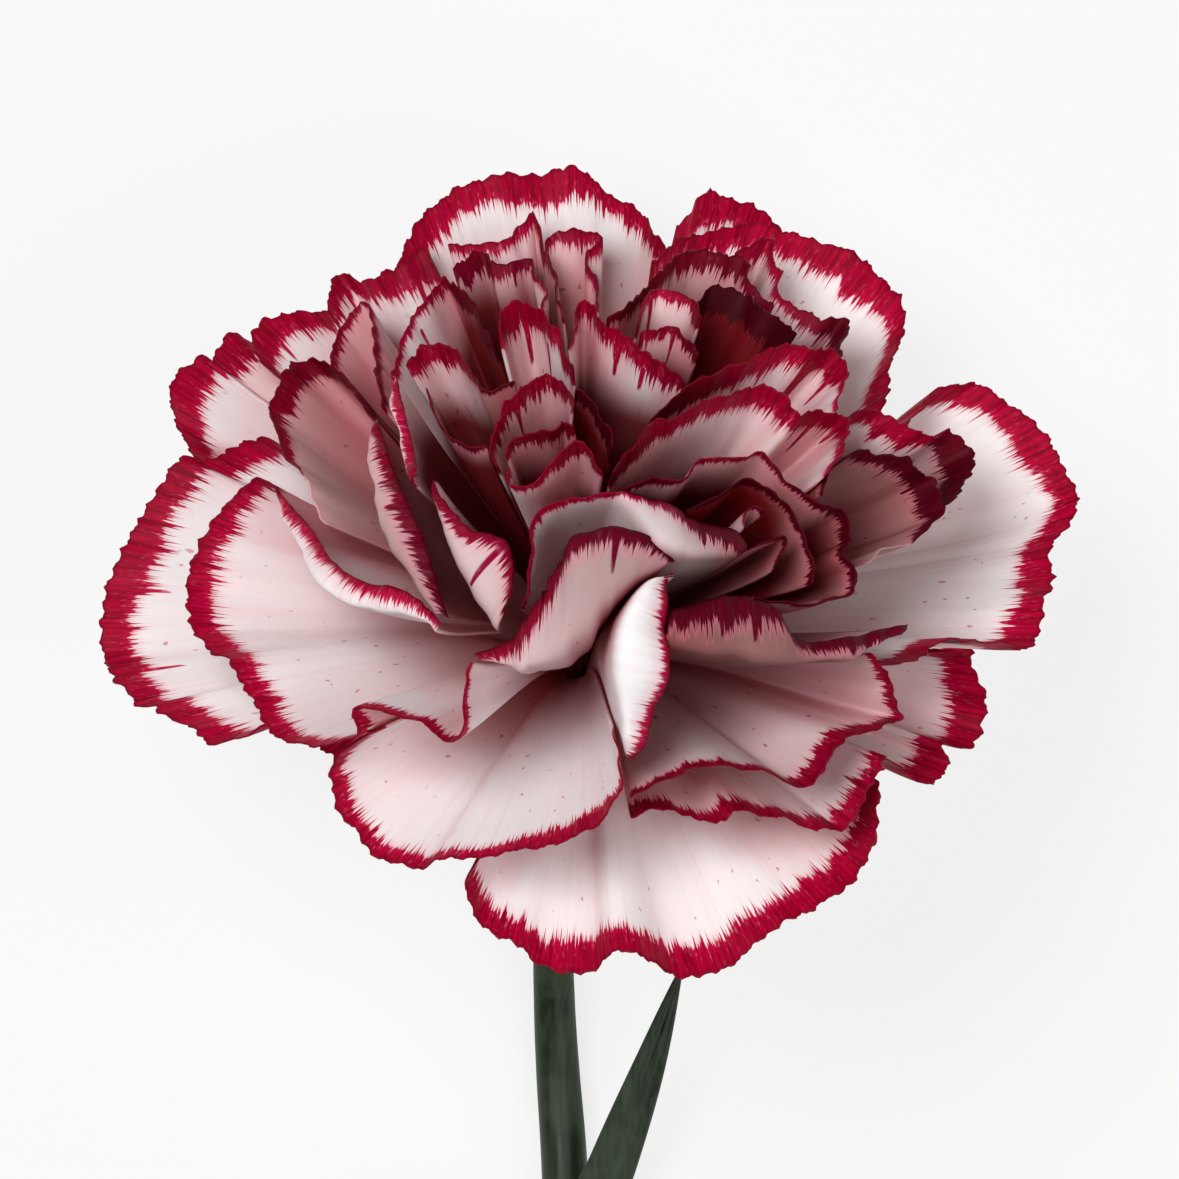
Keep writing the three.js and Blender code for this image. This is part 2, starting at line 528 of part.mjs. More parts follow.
// Leaves: the joint each grows from, the side of the stem (degrees, 0 is +X and 90 is up), the middle line
// from where it leaves the stem to its tip, and its greatest half width.
const LEAVES = {
  upper_right: {
    joint: 6,
    side: 35,
    half: 2.3,
    line: [[-0.2, -50.5, 5.6], [2.5, -43.3, 6.6], [5.5, -35, 8.2], [8.1, -26.8, 9.4]],
  },
  upper_left: {
    joint: 6,
    side: 145,
    half: 1.9,
    line: [[-5.3, -52, 3.4], [-10, -49.5, 5.2], [-17, -51, 6.6], [-23, -57, 5.4], [-26.5, -65, 2.6]],
  },
  lower_right: {
    joint: 9,
    side: 35,
    half: 2.3,
    line: [[2.4, -120, 4.6], [7, -108, 7.2], [13, -92, 8.2], [20, -79, 5.5], [26, -71, 1.8]],
  },
  lower_left: {
    joint: 9,
    side: 145,
    half: 2.3,
    line: [[-7.4, -120, 4.4], [-12, -109, 7.4], [-19, -95, 9], [-27, -86, 6], [-33, -84, 2]],
  },
};

function leafSolid({ joint, side, half, line }) {
  const t = joint / (STEM.length - 1);
  const { at, along, sideways, up } = stemFrame(t);
  const turn = THREE.MathUtils.degToRad(side);
  // `sideways` points to -X or +X depending on the stem's heading, so the side is measured from +X.
  const right = sideways.x > 0 ? sideways : sideways.clone().negate();
  const outward = right.clone().multiplyScalar(Math.cos(turn)).addScaledVector(up, Math.sin(turn));
  const wrap = stemRadius(t) + GAP + LEAF_THICKNESS / 2;
  const foot = at.clone().addScaledVector(outward, wrap);
  const step = foot.clone().addScaledVector(along, -3.2);
  const path = smoothLine([foot, step, ...line]);
  const rows = Array.from({ length: LEAF_ROWS + 1 }, (_, j) => {
    const v = (j / LEAF_ROWS) ** 1.3;
    const middle = path.getPointAt(v);
    const forward = path.getTangentAt(v);
    const away = outward.clone().addScaledVector(forward, -outward.dot(forward)).normalize();
    const lateral = forward.clone().cross(away).normalize();
    const sheath = Math.max(0, 1 - v / SHEATH_SHARE) ** 1.5;
    const blade = half * Math.min(1, 0.75 + v * 0.8) * (1 - v ** 2.6) + 0.12;
    const fold = THREE.MathUtils.lerp(0.5, SHEATH_WRAP, sheath);
    const width = THREE.MathUtils.lerp(blade, wrap * SHEATH_WRAP, sheath);
    const bend = width / fold;
    return [-1, -0.5, 0, 0.5, 1].map((u) =>
      middle
        .clone()
        .addScaledVector(lateral, bend * Math.sin(u * fold))
        .addScaledVector(away, -bend * (1 - Math.cos(u * fold))),
    );
  });
  return sheetSolid(rows, rows.map(() => LEAF_THICKNESS));
}

// ---- assembly -------------------------------------------------------------------------------------

const looks = {
  petal: { color: 0xecd6d8, roughness: 0.6 },
  calyx: { color: 0x6f8f5c, roughness: 0.55 },
  bract: { color: 0x7b9664, roughness: 0.55 },
  stem: { color: 0x3c5547, roughness: 0.5 },
  leaf: { color: 0x33493f, roughness: 0.5 },
};

const carnation = new THREE.Group();
function add(name, geometry, look) {
  geometry.computeVertexNormals();
  const material = new THREE.MeshStandardMaterial({ ...looks[look], metalness: 0 });
  const piece = new THREE.Mesh(geometry, material);
  piece.name = name;
  carnation.add(piece);
}

for (const [name, rim] of Object.entries(PETALS)) {
  const rows = petalRows(rim);
  const thicknesses = rows.map((row, j) => (j < 2 ? CLAW_THICKNESS : PETAL_THICKNESS));
  add(`petal_${name}`, sheetSolid(rows, thicknesses), "petal");
}
add("calyx", calyxSolid(), "calyx");
add("bracts", bractSolid(), "bract");
add("stem", stemSolid(), "stem");
for (const [name, leaf] of Object.entries(LEAVES)) add(`leaf_${name}`, leafSolid(leaf), "leaf");

// The frame's origin is the middle of the underside of the box round everything.
const box = new THREE.Box3().setFromObject(carnation);
const middle = box.getCenter(new THREE.Vector3());
carnation.position.set(-middle.x, -middle.y, -box.min.z);

export default carnation;
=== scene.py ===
import math

import bpy
import numpy as np
from bpy.props import FloatProperty, FloatVectorProperty, PointerProperty
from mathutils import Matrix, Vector


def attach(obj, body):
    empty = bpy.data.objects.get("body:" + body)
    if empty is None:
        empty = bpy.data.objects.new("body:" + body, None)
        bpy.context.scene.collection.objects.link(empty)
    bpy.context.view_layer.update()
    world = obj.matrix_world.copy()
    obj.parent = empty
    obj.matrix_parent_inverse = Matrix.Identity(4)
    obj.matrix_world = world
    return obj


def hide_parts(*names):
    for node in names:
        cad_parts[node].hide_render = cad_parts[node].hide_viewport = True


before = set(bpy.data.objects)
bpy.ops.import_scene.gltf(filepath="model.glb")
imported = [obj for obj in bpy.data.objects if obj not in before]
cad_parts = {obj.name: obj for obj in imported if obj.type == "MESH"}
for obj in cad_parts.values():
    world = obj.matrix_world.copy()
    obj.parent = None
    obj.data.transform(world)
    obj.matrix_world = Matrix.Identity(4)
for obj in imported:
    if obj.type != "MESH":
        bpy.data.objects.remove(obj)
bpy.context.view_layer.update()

bl_info = {
    "name": "Cut Carnation",
    "version": (1, 0, 0),
    "blender": (4, 5, 0),
    "location": "View3D > Sidebar > Carnation",
    "description": "Builds a cut carnation lying on a table: petals, calyx, stem and leaves",
    "category": "Add Mesh",
}

MM = 0.001

# Lengths here are in millimetres from a point on the table under the calyx mouth, and SHIFT takes that
# point to the frame's origin.
SHIFT = np.array([-0.445, 84.054, -0.074])
MOUTH_HEIGHT = 30.0
GAP = 0.3  # clearance between neighbouring pieces

# The bloom: how its axis stands, where its petals' directions meet, and how they spread from the claws.
AXIS_FROM_UPRIGHT = 42.0
AXIS_LEAN = 5.0
HEART_DEPTH = 10.0
SPREAD_LENGTH = 20.0
SPREAD_POWER = 1.6
CLAW_TOP = 9.0
CLAW_LENGTH = 5.0
CLAW_SHARE = 0.9  # how wide a petal's fan still is at its claw, as a share of its rim
FAN_POWER = 1.4

# The edge of a petal: its thickness there as a share of the blade's and over how far it thins, the claw's
# thickness, and the spacing and share of the tooth depth of its fine teeth and of its scallops.
EDGE_SHARE = 0.45
EDGE_REACH = 1.5
CLAW_THICKNESS = 0.13
TEETH = ((0.8, 1.0), (0.33, 0.5))
SCALLOPS = (2.8, 1.6)
TOOTH_FADE = 0.9
FULL_TOOTH_BAND = 1.4

# The frill: length of its waves and crinkles along the rim, in mm, and how far in they reach.
WAVE_LENGTH = 5.0
CRINKLE_LENGTH = 2.0
FRILL_DEPTH = 5.0

# The calyx is a tube about the bloom's axis; the bracts are four scales round its foot.
CALYX_LENGTH = 27.0
CALYX_BELOW = 0.8
CALYX_RADII = (2.3, 4.2, 5.3, 5.7, 5.9)
CALYX_CUP = 15.0
CALYX_TEETH = 5
CALYX_RIDGE = 0.05
TOOTH_LENGTH = 5.0
TOOTH_FLARE = 0.9
BRACTS = 4
BRACT_FOOT = 1.5
BRACT_TOPS = (5.0, 11.0)
BRACT_THICKNESS = 0.6
BRACT_FLARE = 0.5
BRACT_RIDGE = 0.03
CUP_COLUMNS = 200
CUP_RINGS = (30, 18)  # up the outside and down the inside
RIDGES = 35

# The stem swells at its joints, given as places in its line, and ends in a slanted cut.
JOINTS = (6, 9)
JOINT_SWELL = 0.95
JOINT_HALF = 4.5
CUT_SLOPE = 0.9
STEM_RINGS = 420
STEM_SIDES = 40

LEAF_THICKNESS = 0.55
LEAF_RINGS = 110
LEAF_COLUMNS = 19
SHEATH_WRAP = 0.75  # radians either side that a leaf's foot wraps the stem
SHEATH_GAP = 0.03
SHEATH_SHARE = 0.1  # of the leaf's length
SHEATH_LENGTH = 3.2
BLADE_FOLD = 0.5
KEEL = 0.16

# The camera looks straight down from this height, in metres, at a point that is this far from the mouth
# and in a frame this wide, in mm.
CAMERA_HEIGHT = 0.9
LOOK_AT = (0.37, 4.97, 0)
FRAME_WIDTH = 96.9
SENSOR = 36
FLOOR_HALF = 3

# Each lamp's place from the mouth and size in metres, and its power in watts.
LAMPS = {
    "key": ((-0.32, 0.24, 0.92), 0.55, 8.3),
    "fill": ((0.5, -0.25, 0.8), 0.7, 4.0),
}
SKY = (1, 0.72, 0.71, 1)
SKY_STRENGTH = 0.18

# Each leaf: the joint it grows from, the side of the stem in degrees, its greatest half width and its
# middle line from above the sheath to the tip.
LEAVES = {
    "upper_right": (
        6, 35, 2.3, [(-0.2, -50.5, 5.6), (2.5, -43.3, 6.6), (5.5, -35, 8.2), (8.1, -26.8, 9.4)],
    ),
    "upper_left": (
        6, 145, 1.9,
        [(-5.3, -52, 3.4), (-10, -49.5, 5.2), (-17, -51, 6.6), (-23, -57, 5.4), (-26.5, -65, 2.6)],
    ),
    "lower_right": (
        9, 35, 2.3, [(2.4, -120, 4.6), (7, -108, 7.2), (13, -92, 8.2), (20, -79, 5.5), (26, -71, 1.8)],
    ),
    "lower_left": (
        9, 145, 2.3, [(-7.4, -120, 4.4), (-12, -109, 7.4), (-19, -95, 9), (-27, -86, 6), (-33, -84, 2)],
    ),
}

# Each petal is its rim: points in millimetres from the middle of the calyx mouth, to the right, up the
# bloom's face and upwards from the mouth's level, in order from one corner of the fan to the other.
PETALS = {
    "guard_under_left": [
        (-20.5, 3, -15), (-26, 9, -19), (-28.5, 14.5, -23.5), (-27, 18.5, -27.5), (-23, 20.5, -29.7),
        (-18.5, 20.5, -29.8), (-14, 21.5, -29.8), (-10.5, 22.5, -29.4), (-7, 25, -27.5),
        (-4.5, 27.5, -26.5), (-1, 28, -26),
    ],
    "guard_under_right": [
        (1, 27.5, -26), (4.5, 27.5, -26.5), (7, 25, -27.5), (10.5, 22.5, -29.4), (14, 21.5, -29.8),
        (18.5, 20.5, -29.8), (23.5, 19.5, -29.7), (28, 16.5, -27), (30, 12, -23), (28, 6.5, -18.5),
        (23, 2, -15),
    ],
    "guard_left_low": [
        (-14.5, -13.5, 4), (-19, -11, 2), (-23.5, -5.5, -1), (-28.5, -2, -5), (-32, 1, -8), (-33, 6, -12),
        (-30, 8.5, -16),
    ],
    "guard_right_low": [
        (29, 8.5, -15.5), (32, 5.5, -12), (32, 0.5, -8), (29.5, -4.5, -4), (26, -8.5, -1),
        (22.5, -11.5, 2), (17.5, -14.5, 6),
    ],
    "guard_front": [
        (-8.6, -17.2, 26), (-9.2, -19.3, 26), (-8, -22, 25.5), (-4, -24.4, 25), (0, -25.4, 25),
        (3.6, -24, 26.5), (7, -25.5, 25), (10.6, -25.1, 24.5), (13.8, -22.8, 24), (18.2, -20.8, 22),
        (21.3, -18, 20.5), (23.2, -14.8, 19.5), (23.8, -11.5, 20), (22.5, -9.5, 20.5),
    ],
    "front_low_left": [
        (-16.5, -6, 27), (-19.3, -8, 25.5), (-20.2, -10.5, 24.5), (-19.3, -13.5, 24.5), (-16.5, -16, 25.5),
        (-13.7, -17, 26.5), (-11, -16.4, 28), (-7, -16.2, 29), (-3, -15.3, 30), (0.5, -13.7, 31),
        (2.6, -11, 32.3), (2.9, -8.8, 33), (2.3, -6, 33.6),
    ],
    "front_right": [
        (3.6, -11.5, 31.5), (5.5, -10.6, 31.5), (8.5, -9.4, 31.5), (12, -9.2, 31), (15, -9.9, 29.5),
        (17.2, -10.8, 28), (18.6, -9.3, 27.5), (20, -7.3, 27), (22.5, -6, 26), (25.3, -5.2, 24.5),
        (24.8, -3.3, 25), (23.9, -1.8, 26), (22.5, -0.5, 27),
    ],
    "front_right_under": [
        (3.6, -13, 28.3), (6.2, -12.6, 27.6), (9.8, -13.7, 26.5), (13, -12.8, 26.2), (16, -13.6, 24.7),
        (19, -14.1, 23), (21.5, -13, 22.5), (23, -10, 22), (24, -8.3, 21.8),
    ],
    "front_right_flank": [
        (6.6, 3.2, 34), (9.5, 4.1, 33.5), (13, 4.3, 32), (15, 3.2, 31.5), (17, 1.1, 31), (20, 1.1, 29.5),
        (23, 1.7, 27), (25.6, 2.1, 24.5),
    ],
    "right_low": [
        (23.2, -8.6, 20.5), (24.8, -9.2, 19.5), (27, -10.5, 17.5), (29.3, -9.4, 15.5), (29, -7.5, 15.5),
        (31.5, -7.9, 12.5), (32.2, -6, 11.5), (31.9, -3.5, 12), (31, -1, 13.5), (29.5, 0, 15.5),
    ],
    "right_big": [
        (26, 16.5, 8), (27.3, 19.6, 3), (30.5, 21.6, -1), (35, 20.6, -3), (38.2, 17.2, -4), (40.4, 14, -4),
        (40, 10.2, -2), (38.2, 8, 0), (37.7, 3.8, 4), (34.6, 0.1, 9), (30.5, 0.9, 15), (26, -1, 21),
        (23, -0.9, 24.5),
    ],
    "top_right_big": [
        (23.5, 18.5, 0), (25, 22.3, -3), (25.8, 25.3, -6), (26, 28.4, -8.5), (23.8, 31.3, -10),
        (20.8, 33.5, -11), (17, 34.8, -12), (13.5, 35.3, -12.5), (10, 34.8, -11), (7.3, 33.4, -8.5),
        (5.8, 31.5, -6),
    ],
    "top_right_small": [
        (7.4, 33.6, -17), (7.6, 35.2, -17), (9, 36.7, -17), (11, 38.2, -17), (13.2, 37.7, -17.5),
        (15, 36.4, -18), (16.3, 34.9, -18.5), (17.2, 33.2, -19),
    ],
    "top_left_big": [
        (-15.5, 31, -6), (-14.2, 34.3, -8), (-12, 36.9, -9.5), (-8.5, 39, -10.5), (-4, 39.2, -11),
        (-1.2, 39.9, -11), (0.3, 39.6, -11), (1.7, 38.2, -11.4), (3.6, 37.1, -12), (5.2, 34.9, -12.5),
        (7, 33, -12.5), (8, 31, -12),
    ],
    "left_top_outer": [
        (-31.6, 15.4, -4), (-32.8, 17, -4), (-33.8, 19.5, -3), (-33.5, 22.8, -4.5), (-31.8, 24.3, -5.5),
        (-31, 23.6, -5.5), (-29.6, 26, -7), (-27.6, 25.5, -8), (-25, 24.5, -8.5),
    ],
    "left_top_second": [
        (-25.2, 22.8, -1), (-27.3, 25, -3.5), (-26.5, 27.2, -5), (-23, 28.2, -6), (-20.3, 27.4, -5),
        (-19.9, 25.8, -3), (-20.8, 23, 1),
    ],
    "left_outer": [
        (-26.5, -6, 17), (-29.3, -7.3, 14), (-32.5, -6, 11), (-35, -4.2, 9), (-36.6, -4.6, 7),
        (-38.3, -2.3, 4), (-39.5, 2.5, 0), (-38.8, 5.8, -1), (-37, 10, -2), (-35, 14, -2.5),
        (-31.5, 15.6, -1), (-27.5, 16.8, 1), (-25.3, 17.3, 3), (-24, 15, 6),
    ],
    "left_mid": [
        (-8.7, -0.9, 33.2), (-9.6, -3.4, 32.8), (-11, -6.8, 31.5), (-13, -5.6, 31), (-16.2, -4.8, 29.5),
        (-17.6, -4.4, 28.8), (-18.5, -6.7, 27), (-23.8, -7.2, 23), (-26.4, -5, 20), (-28.6, -0.5, 18),
        (-31.6, 1.8, 14), (-32, 5.5, 12), (-30.5, 9.5, 12), (-29.3, 11.6, 11.5), (-26.3, 13.6, 13),
        (-23.4, 11.5, 18), (-20, 7, 24.5), (-17.8, 5.6, 27), (-14.5, 5, 29.5), (-11.5, 2.4, 32.5),
    ],
    "left_inner": [
        (-20.6, 10.3, 20.5), (-23.6, 15, 15), (-25.4, 20, 9), (-24.2, 22.6, 6.5), (-22.5, 23.7, 6),
        (-20.3, 22.7, 8.5), (-18.3, 20.6, 12), (-16.4, 18.2, 16.5),
    ],
    "left_peak": [(-20.6, 22.6, 5), (-20, 26.4, 1.5), (-18.2, 28.4, 1), (-17.2, 25, 6), (-16.4, 19.5, 13)],
    "left_crest": [
        (-21.2, 28.5, -4), (-20.4, 31, -6), (-18.3, 30.7, -5), (-15.5, 31.3, -5), (-13.2, 33, -6),
        (-12.2, 31.6, -4),
    ],
    "upper_left_blade": [
        (-15.7, 22, 14), (-15, 25, 11), (-13, 28.8, 7), (-11.6, 30.6, 4.5), (-9.8, 28.8, 7.5),
        (-8.6, 26.6, 11), (-7.2, 25.6, 13),
    ],
    "top_inner_back": [
        (-11.5, 33.8, -5.5), (-9.5, 33.4, -4.5), (-7, 33.6, -4), (-5.3, 34.8, -5), (-4.3, 36, -6),
        (-3.4, 33, -2.5), (-2.4, 30, 2), (-1.6, 27, 7),
    ],
    "top_inner_mid": [
        (-11, 31.5, 0), (-9, 32.2, -1), (-7.5, 31.3, 1), (-6.3, 31.6, 1), (-5, 32.2, 0.5),
        (-3.9, 30.8, 2.5), (-3.3, 28, 7),
    ],
    "top_center_flag": [
        (-3.3, 33.6, -4.3), (-1.8, 34.4, -5), (0.6, 34.5, -5.2), (0.7, 33.2, -4), (0.1, 31.5, -2.5),
        (0.9, 28.5, 1.5),
    ],
    "center_left_cup": [
        (-14.4, 22.8, 17), (-13.2, 24.1, 16), (-11, 24.2, 16.5), (-9.4, 23, 18.5), (-8.1, 20.8, 21.8),
        (-6.5, 21, 21.8), (-5.6, 21.7, 21.3),
    ],
    "center_flame": [
        (-7, 25.5, 15), (-6.3, 27.5, 13), (-4.7, 28.2, 12.5), (-3, 26.8, 15), (-1.8, 24.8, 17.5),
        (-1, 22.4, 20),
    ],
    "center_bud_top": [
        (-6.9, 14.8, 27.4), (-7.1, 17, 26), (-6.7, 19, 24.6), (-5.6, 20.8, 23.3), (-4.2, 22, 22.3),
        (-2.8, 22.2, 22.4), (-1.5, 21.3, 23.4), (-1.6, 19.2, 25.2),
    ],
    "center_bud_back": [
        (-6.1, 15.6, 27.4), (-5.9, 16.9, 26.4), (-4.8, 17.5, 26.2), (-3, 17.9, 26.1), (-1.7, 18.7, 25.8),
        (-0.6, 18.2, 26.2),
    ],
    "center_bud_front": [
        (-6.1, 14.7, 28.4), (-5.1, 13.4, 29.8), (-3.9, 13.6, 29.8), (-2.9, 14.6, 29.3), (-2, 15.7, 28.5),
        (-0.8, 16.5, 28), (0.5, 15.8, 28.3), (1.2, 14.2, 29.2),
    ],
    "center_bud_right": [
        (-1, 20.9, 23.9), (0.2, 20.3, 24.3), (1.1, 19, 25.2), (1.7, 17.4, 26.6), (2, 16, 27.8),
    ],
    "center_slope": [
        (-1.1, 24.4, 16.1), (-0.9, 26.6, 13.5), (0.1, 28.4, 11.5), (1.6, 27, 13.3), (3.4, 25.1, 15.9),
        (5.4, 23.5, 17.5), (8, 21.6, 18.5),
    ],
    "rosette_ring": [
        (1.7, 27, 11), (4, 28.7, 8), (6.3, 30.8, 4.5), (8.2, 32.4, 2), (10.5, 32.6, 0.5), (12.7, 32.2, 0),
        (13.6, 30.3, 2.5), (15.5, 28.2, 4),
    ],
    "rosette_fan": [
        (12.6, 32.8, -4), (15.3, 33.6, -6), (15.9, 31.2, -3), (16.8, 28.8, -0.5), (18.6, 27.8, 0),
        (21.3, 27.2, -0.5), (20.9, 25, 3), (20.5, 23.5, 6),
    ],
    "rosette_bud_back": [
        (4.3, 26.6, 12.5), (4.9, 27.9, 11), (6.6, 29.3, 9.5), (8.3, 28.6, 9.7), (9.3, 27, 11),
    ],
    "rosette_bud_front": [
        (4.6, 25.4, 14.8), (5.8, 26, 13.8), (7.3, 26.3, 13), (8.4, 25.2, 13.8), (9, 23.9, 14.8),
    ],
    "rosette_dark": [(9, 28.5, 7), (11, 29.6, 5.5), (13.3, 29, 5.5), (15, 27.4, 6.5), (17.5, 26, 6)],
    "right_mid_fan": [
        (5, 19.3, 21.5), (8, 21.2, 19.5), (11, 22.6, 17), (14.5, 23.6, 14.5), (17.5, 24.4, 12),
        (20.3, 24, 10), (20.9, 21.5, 13), (20.6, 19.5, 15.5),
    ],
    "right_mid_second": [
        (2, 14.3, 29.5), (4.3, 16.6, 27.3), (7.2, 19, 24.3), (10.5, 20.2, 21.8), (13.5, 20.6, 19.5),
        (15.8, 20.3, 18), (17, 18.6, 19), (19, 19, 17), (20.6, 18.8, 16), (20.8, 17.2, 18.3),
        (20.2, 15.5, 20.6), (19.5, 13.9, 22),
    ],
    "right_band": [
        (20.7, 17.5, 16.5), (21.5, 19.1, 13), (24, 19.6, 10), (26.3, 18, 9.5), (28.5, 17.3, 8),
        (30.2, 18, 5.5), (31.3, 16.2, 5.5), (31.1, 14, 8), (29.3, 12, 12),
    ],
    "right_round": [
        (19.2, 12.5, 22.5), (20.4, 14.8, 20), (22.8, 15.8, 17.5), (25.5, 15.4, 15), (28, 14.2, 13),
        (29, 11.8, 14), (28, 10.2, 16), (25.2, 8.4, 19), (22.5, 7.4, 21.8),
    ],
    "right_hood": [
        (3, 13.3, 31), (5.2, 14.3, 29.5), (7.8, 14.2, 28.5), (9.2, 15.4, 27), (11.5, 15.8, 25.7),
        (13.9, 16.3, 24), (16, 14, 24), (18.8, 11.6, 23.5), (21.1, 10.8, 21.8), (21.3, 9, 22.5),
    ],
    "cavity_back": [
        (8, 11.3, 30.7), (10.5, 12.3, 29.4), (12.6, 13.6, 27.6), (14.8, 12.8, 26.8), (17, 10.7, 26.3),
        (18, 8, 26.7), (18.2, 5.4, 27.6),
    ],
    "cavity_right": [
        (21.2, 8.6, 23.3), (20.7, 8, 24), (21.6, 6.2, 23.5), (20.8, 4.6, 25), (19, 3.8, 26.5),
        (16, 4.4, 28.5), (13.5, 4.5, 30),
    ],
    "cavity_curl": [(12.6, 9.8, 29.6), (12.8, 11, 29.2), (13.5, 11.5, 28.6), (14.3, 11.1, 28.6)],
    "center_wave": [
        (-5.3, 3.6, 34), (-4.7, 7, 33), (-3.8, 10.5, 31.5), (-1.5, 12.3, 31), (2, 12.9, 30.5),
        (5.5, 12, 30.5), (8.5, 10.6, 30.5), (11, 9.8, 30.2), (12.4, 9.2, 30),
    ],
    "center_wave_under": [
        (13, 8.3, 29.8), (14.4, 8.7, 29), (15.5, 9.2, 28.3), (15.8, 8, 28.4), (15.2, 6.3, 29.3),
    ],
    "center_front_wave": [
        (-9, -0.1, 33.5), (-6.8, 0.9, 34), (-4.6, 2.8, 34.5), (-2.9, 5.6, 34), (-1.6, 8, 33.2),
        (0.5, 9.2, 33), (3, 9.5, 33), (5.3, 8.7, 33), (7.2, 7.3, 33),
    ],
    "white_narrow": [
        (7.1, 6.4, 33.5), (6.6, 4.8, 34.3), (6.3, 1.5, 35.2), (6.3, -1.5, 35.5), (5.7, -4.5, 35.2),
        (4.8, -7.2, 34.3), (3.7, -8.2, 33.7),
    ],
    "left_blade_outer": [
        (-16.6, 18.7, 20.5), (-15.9, 16.7, 23), (-15.2, 14.5, 25.3), (-14, 11.7, 27.9), (-12.7, 8.6, 30),
        (-11.6, 5.2, 31.6), (-10.8, 2.6, 33),
    ],
    "left_blade_middle": [
        (-15.1, 22.3, 18.7), (-14.6, 20, 22), (-14.1, 18, 24.6), (-13.6, 16, 26.3), (-13, 13.7, 28.1),
    ],
    "left_blade_inner": [
        (-12.3, 14, 28.5), (-11, 11.8, 29.7), (-9.3, 9.9, 31), (-7.2, 9.3, 31.5), (-5.9, 8.2, 31.9),
        (-5.6, 5.9, 32.7), (-6.3, 3.4, 33.3),
    ],
    "left_lip": [
        (-12.8, 21, 21.2), (-12.1, 19.2, 23.3), (-11, 17.5, 25.5), (-9.3, 16.4, 27.2), (-7.9, 16.3, 27.7),
    ],
}

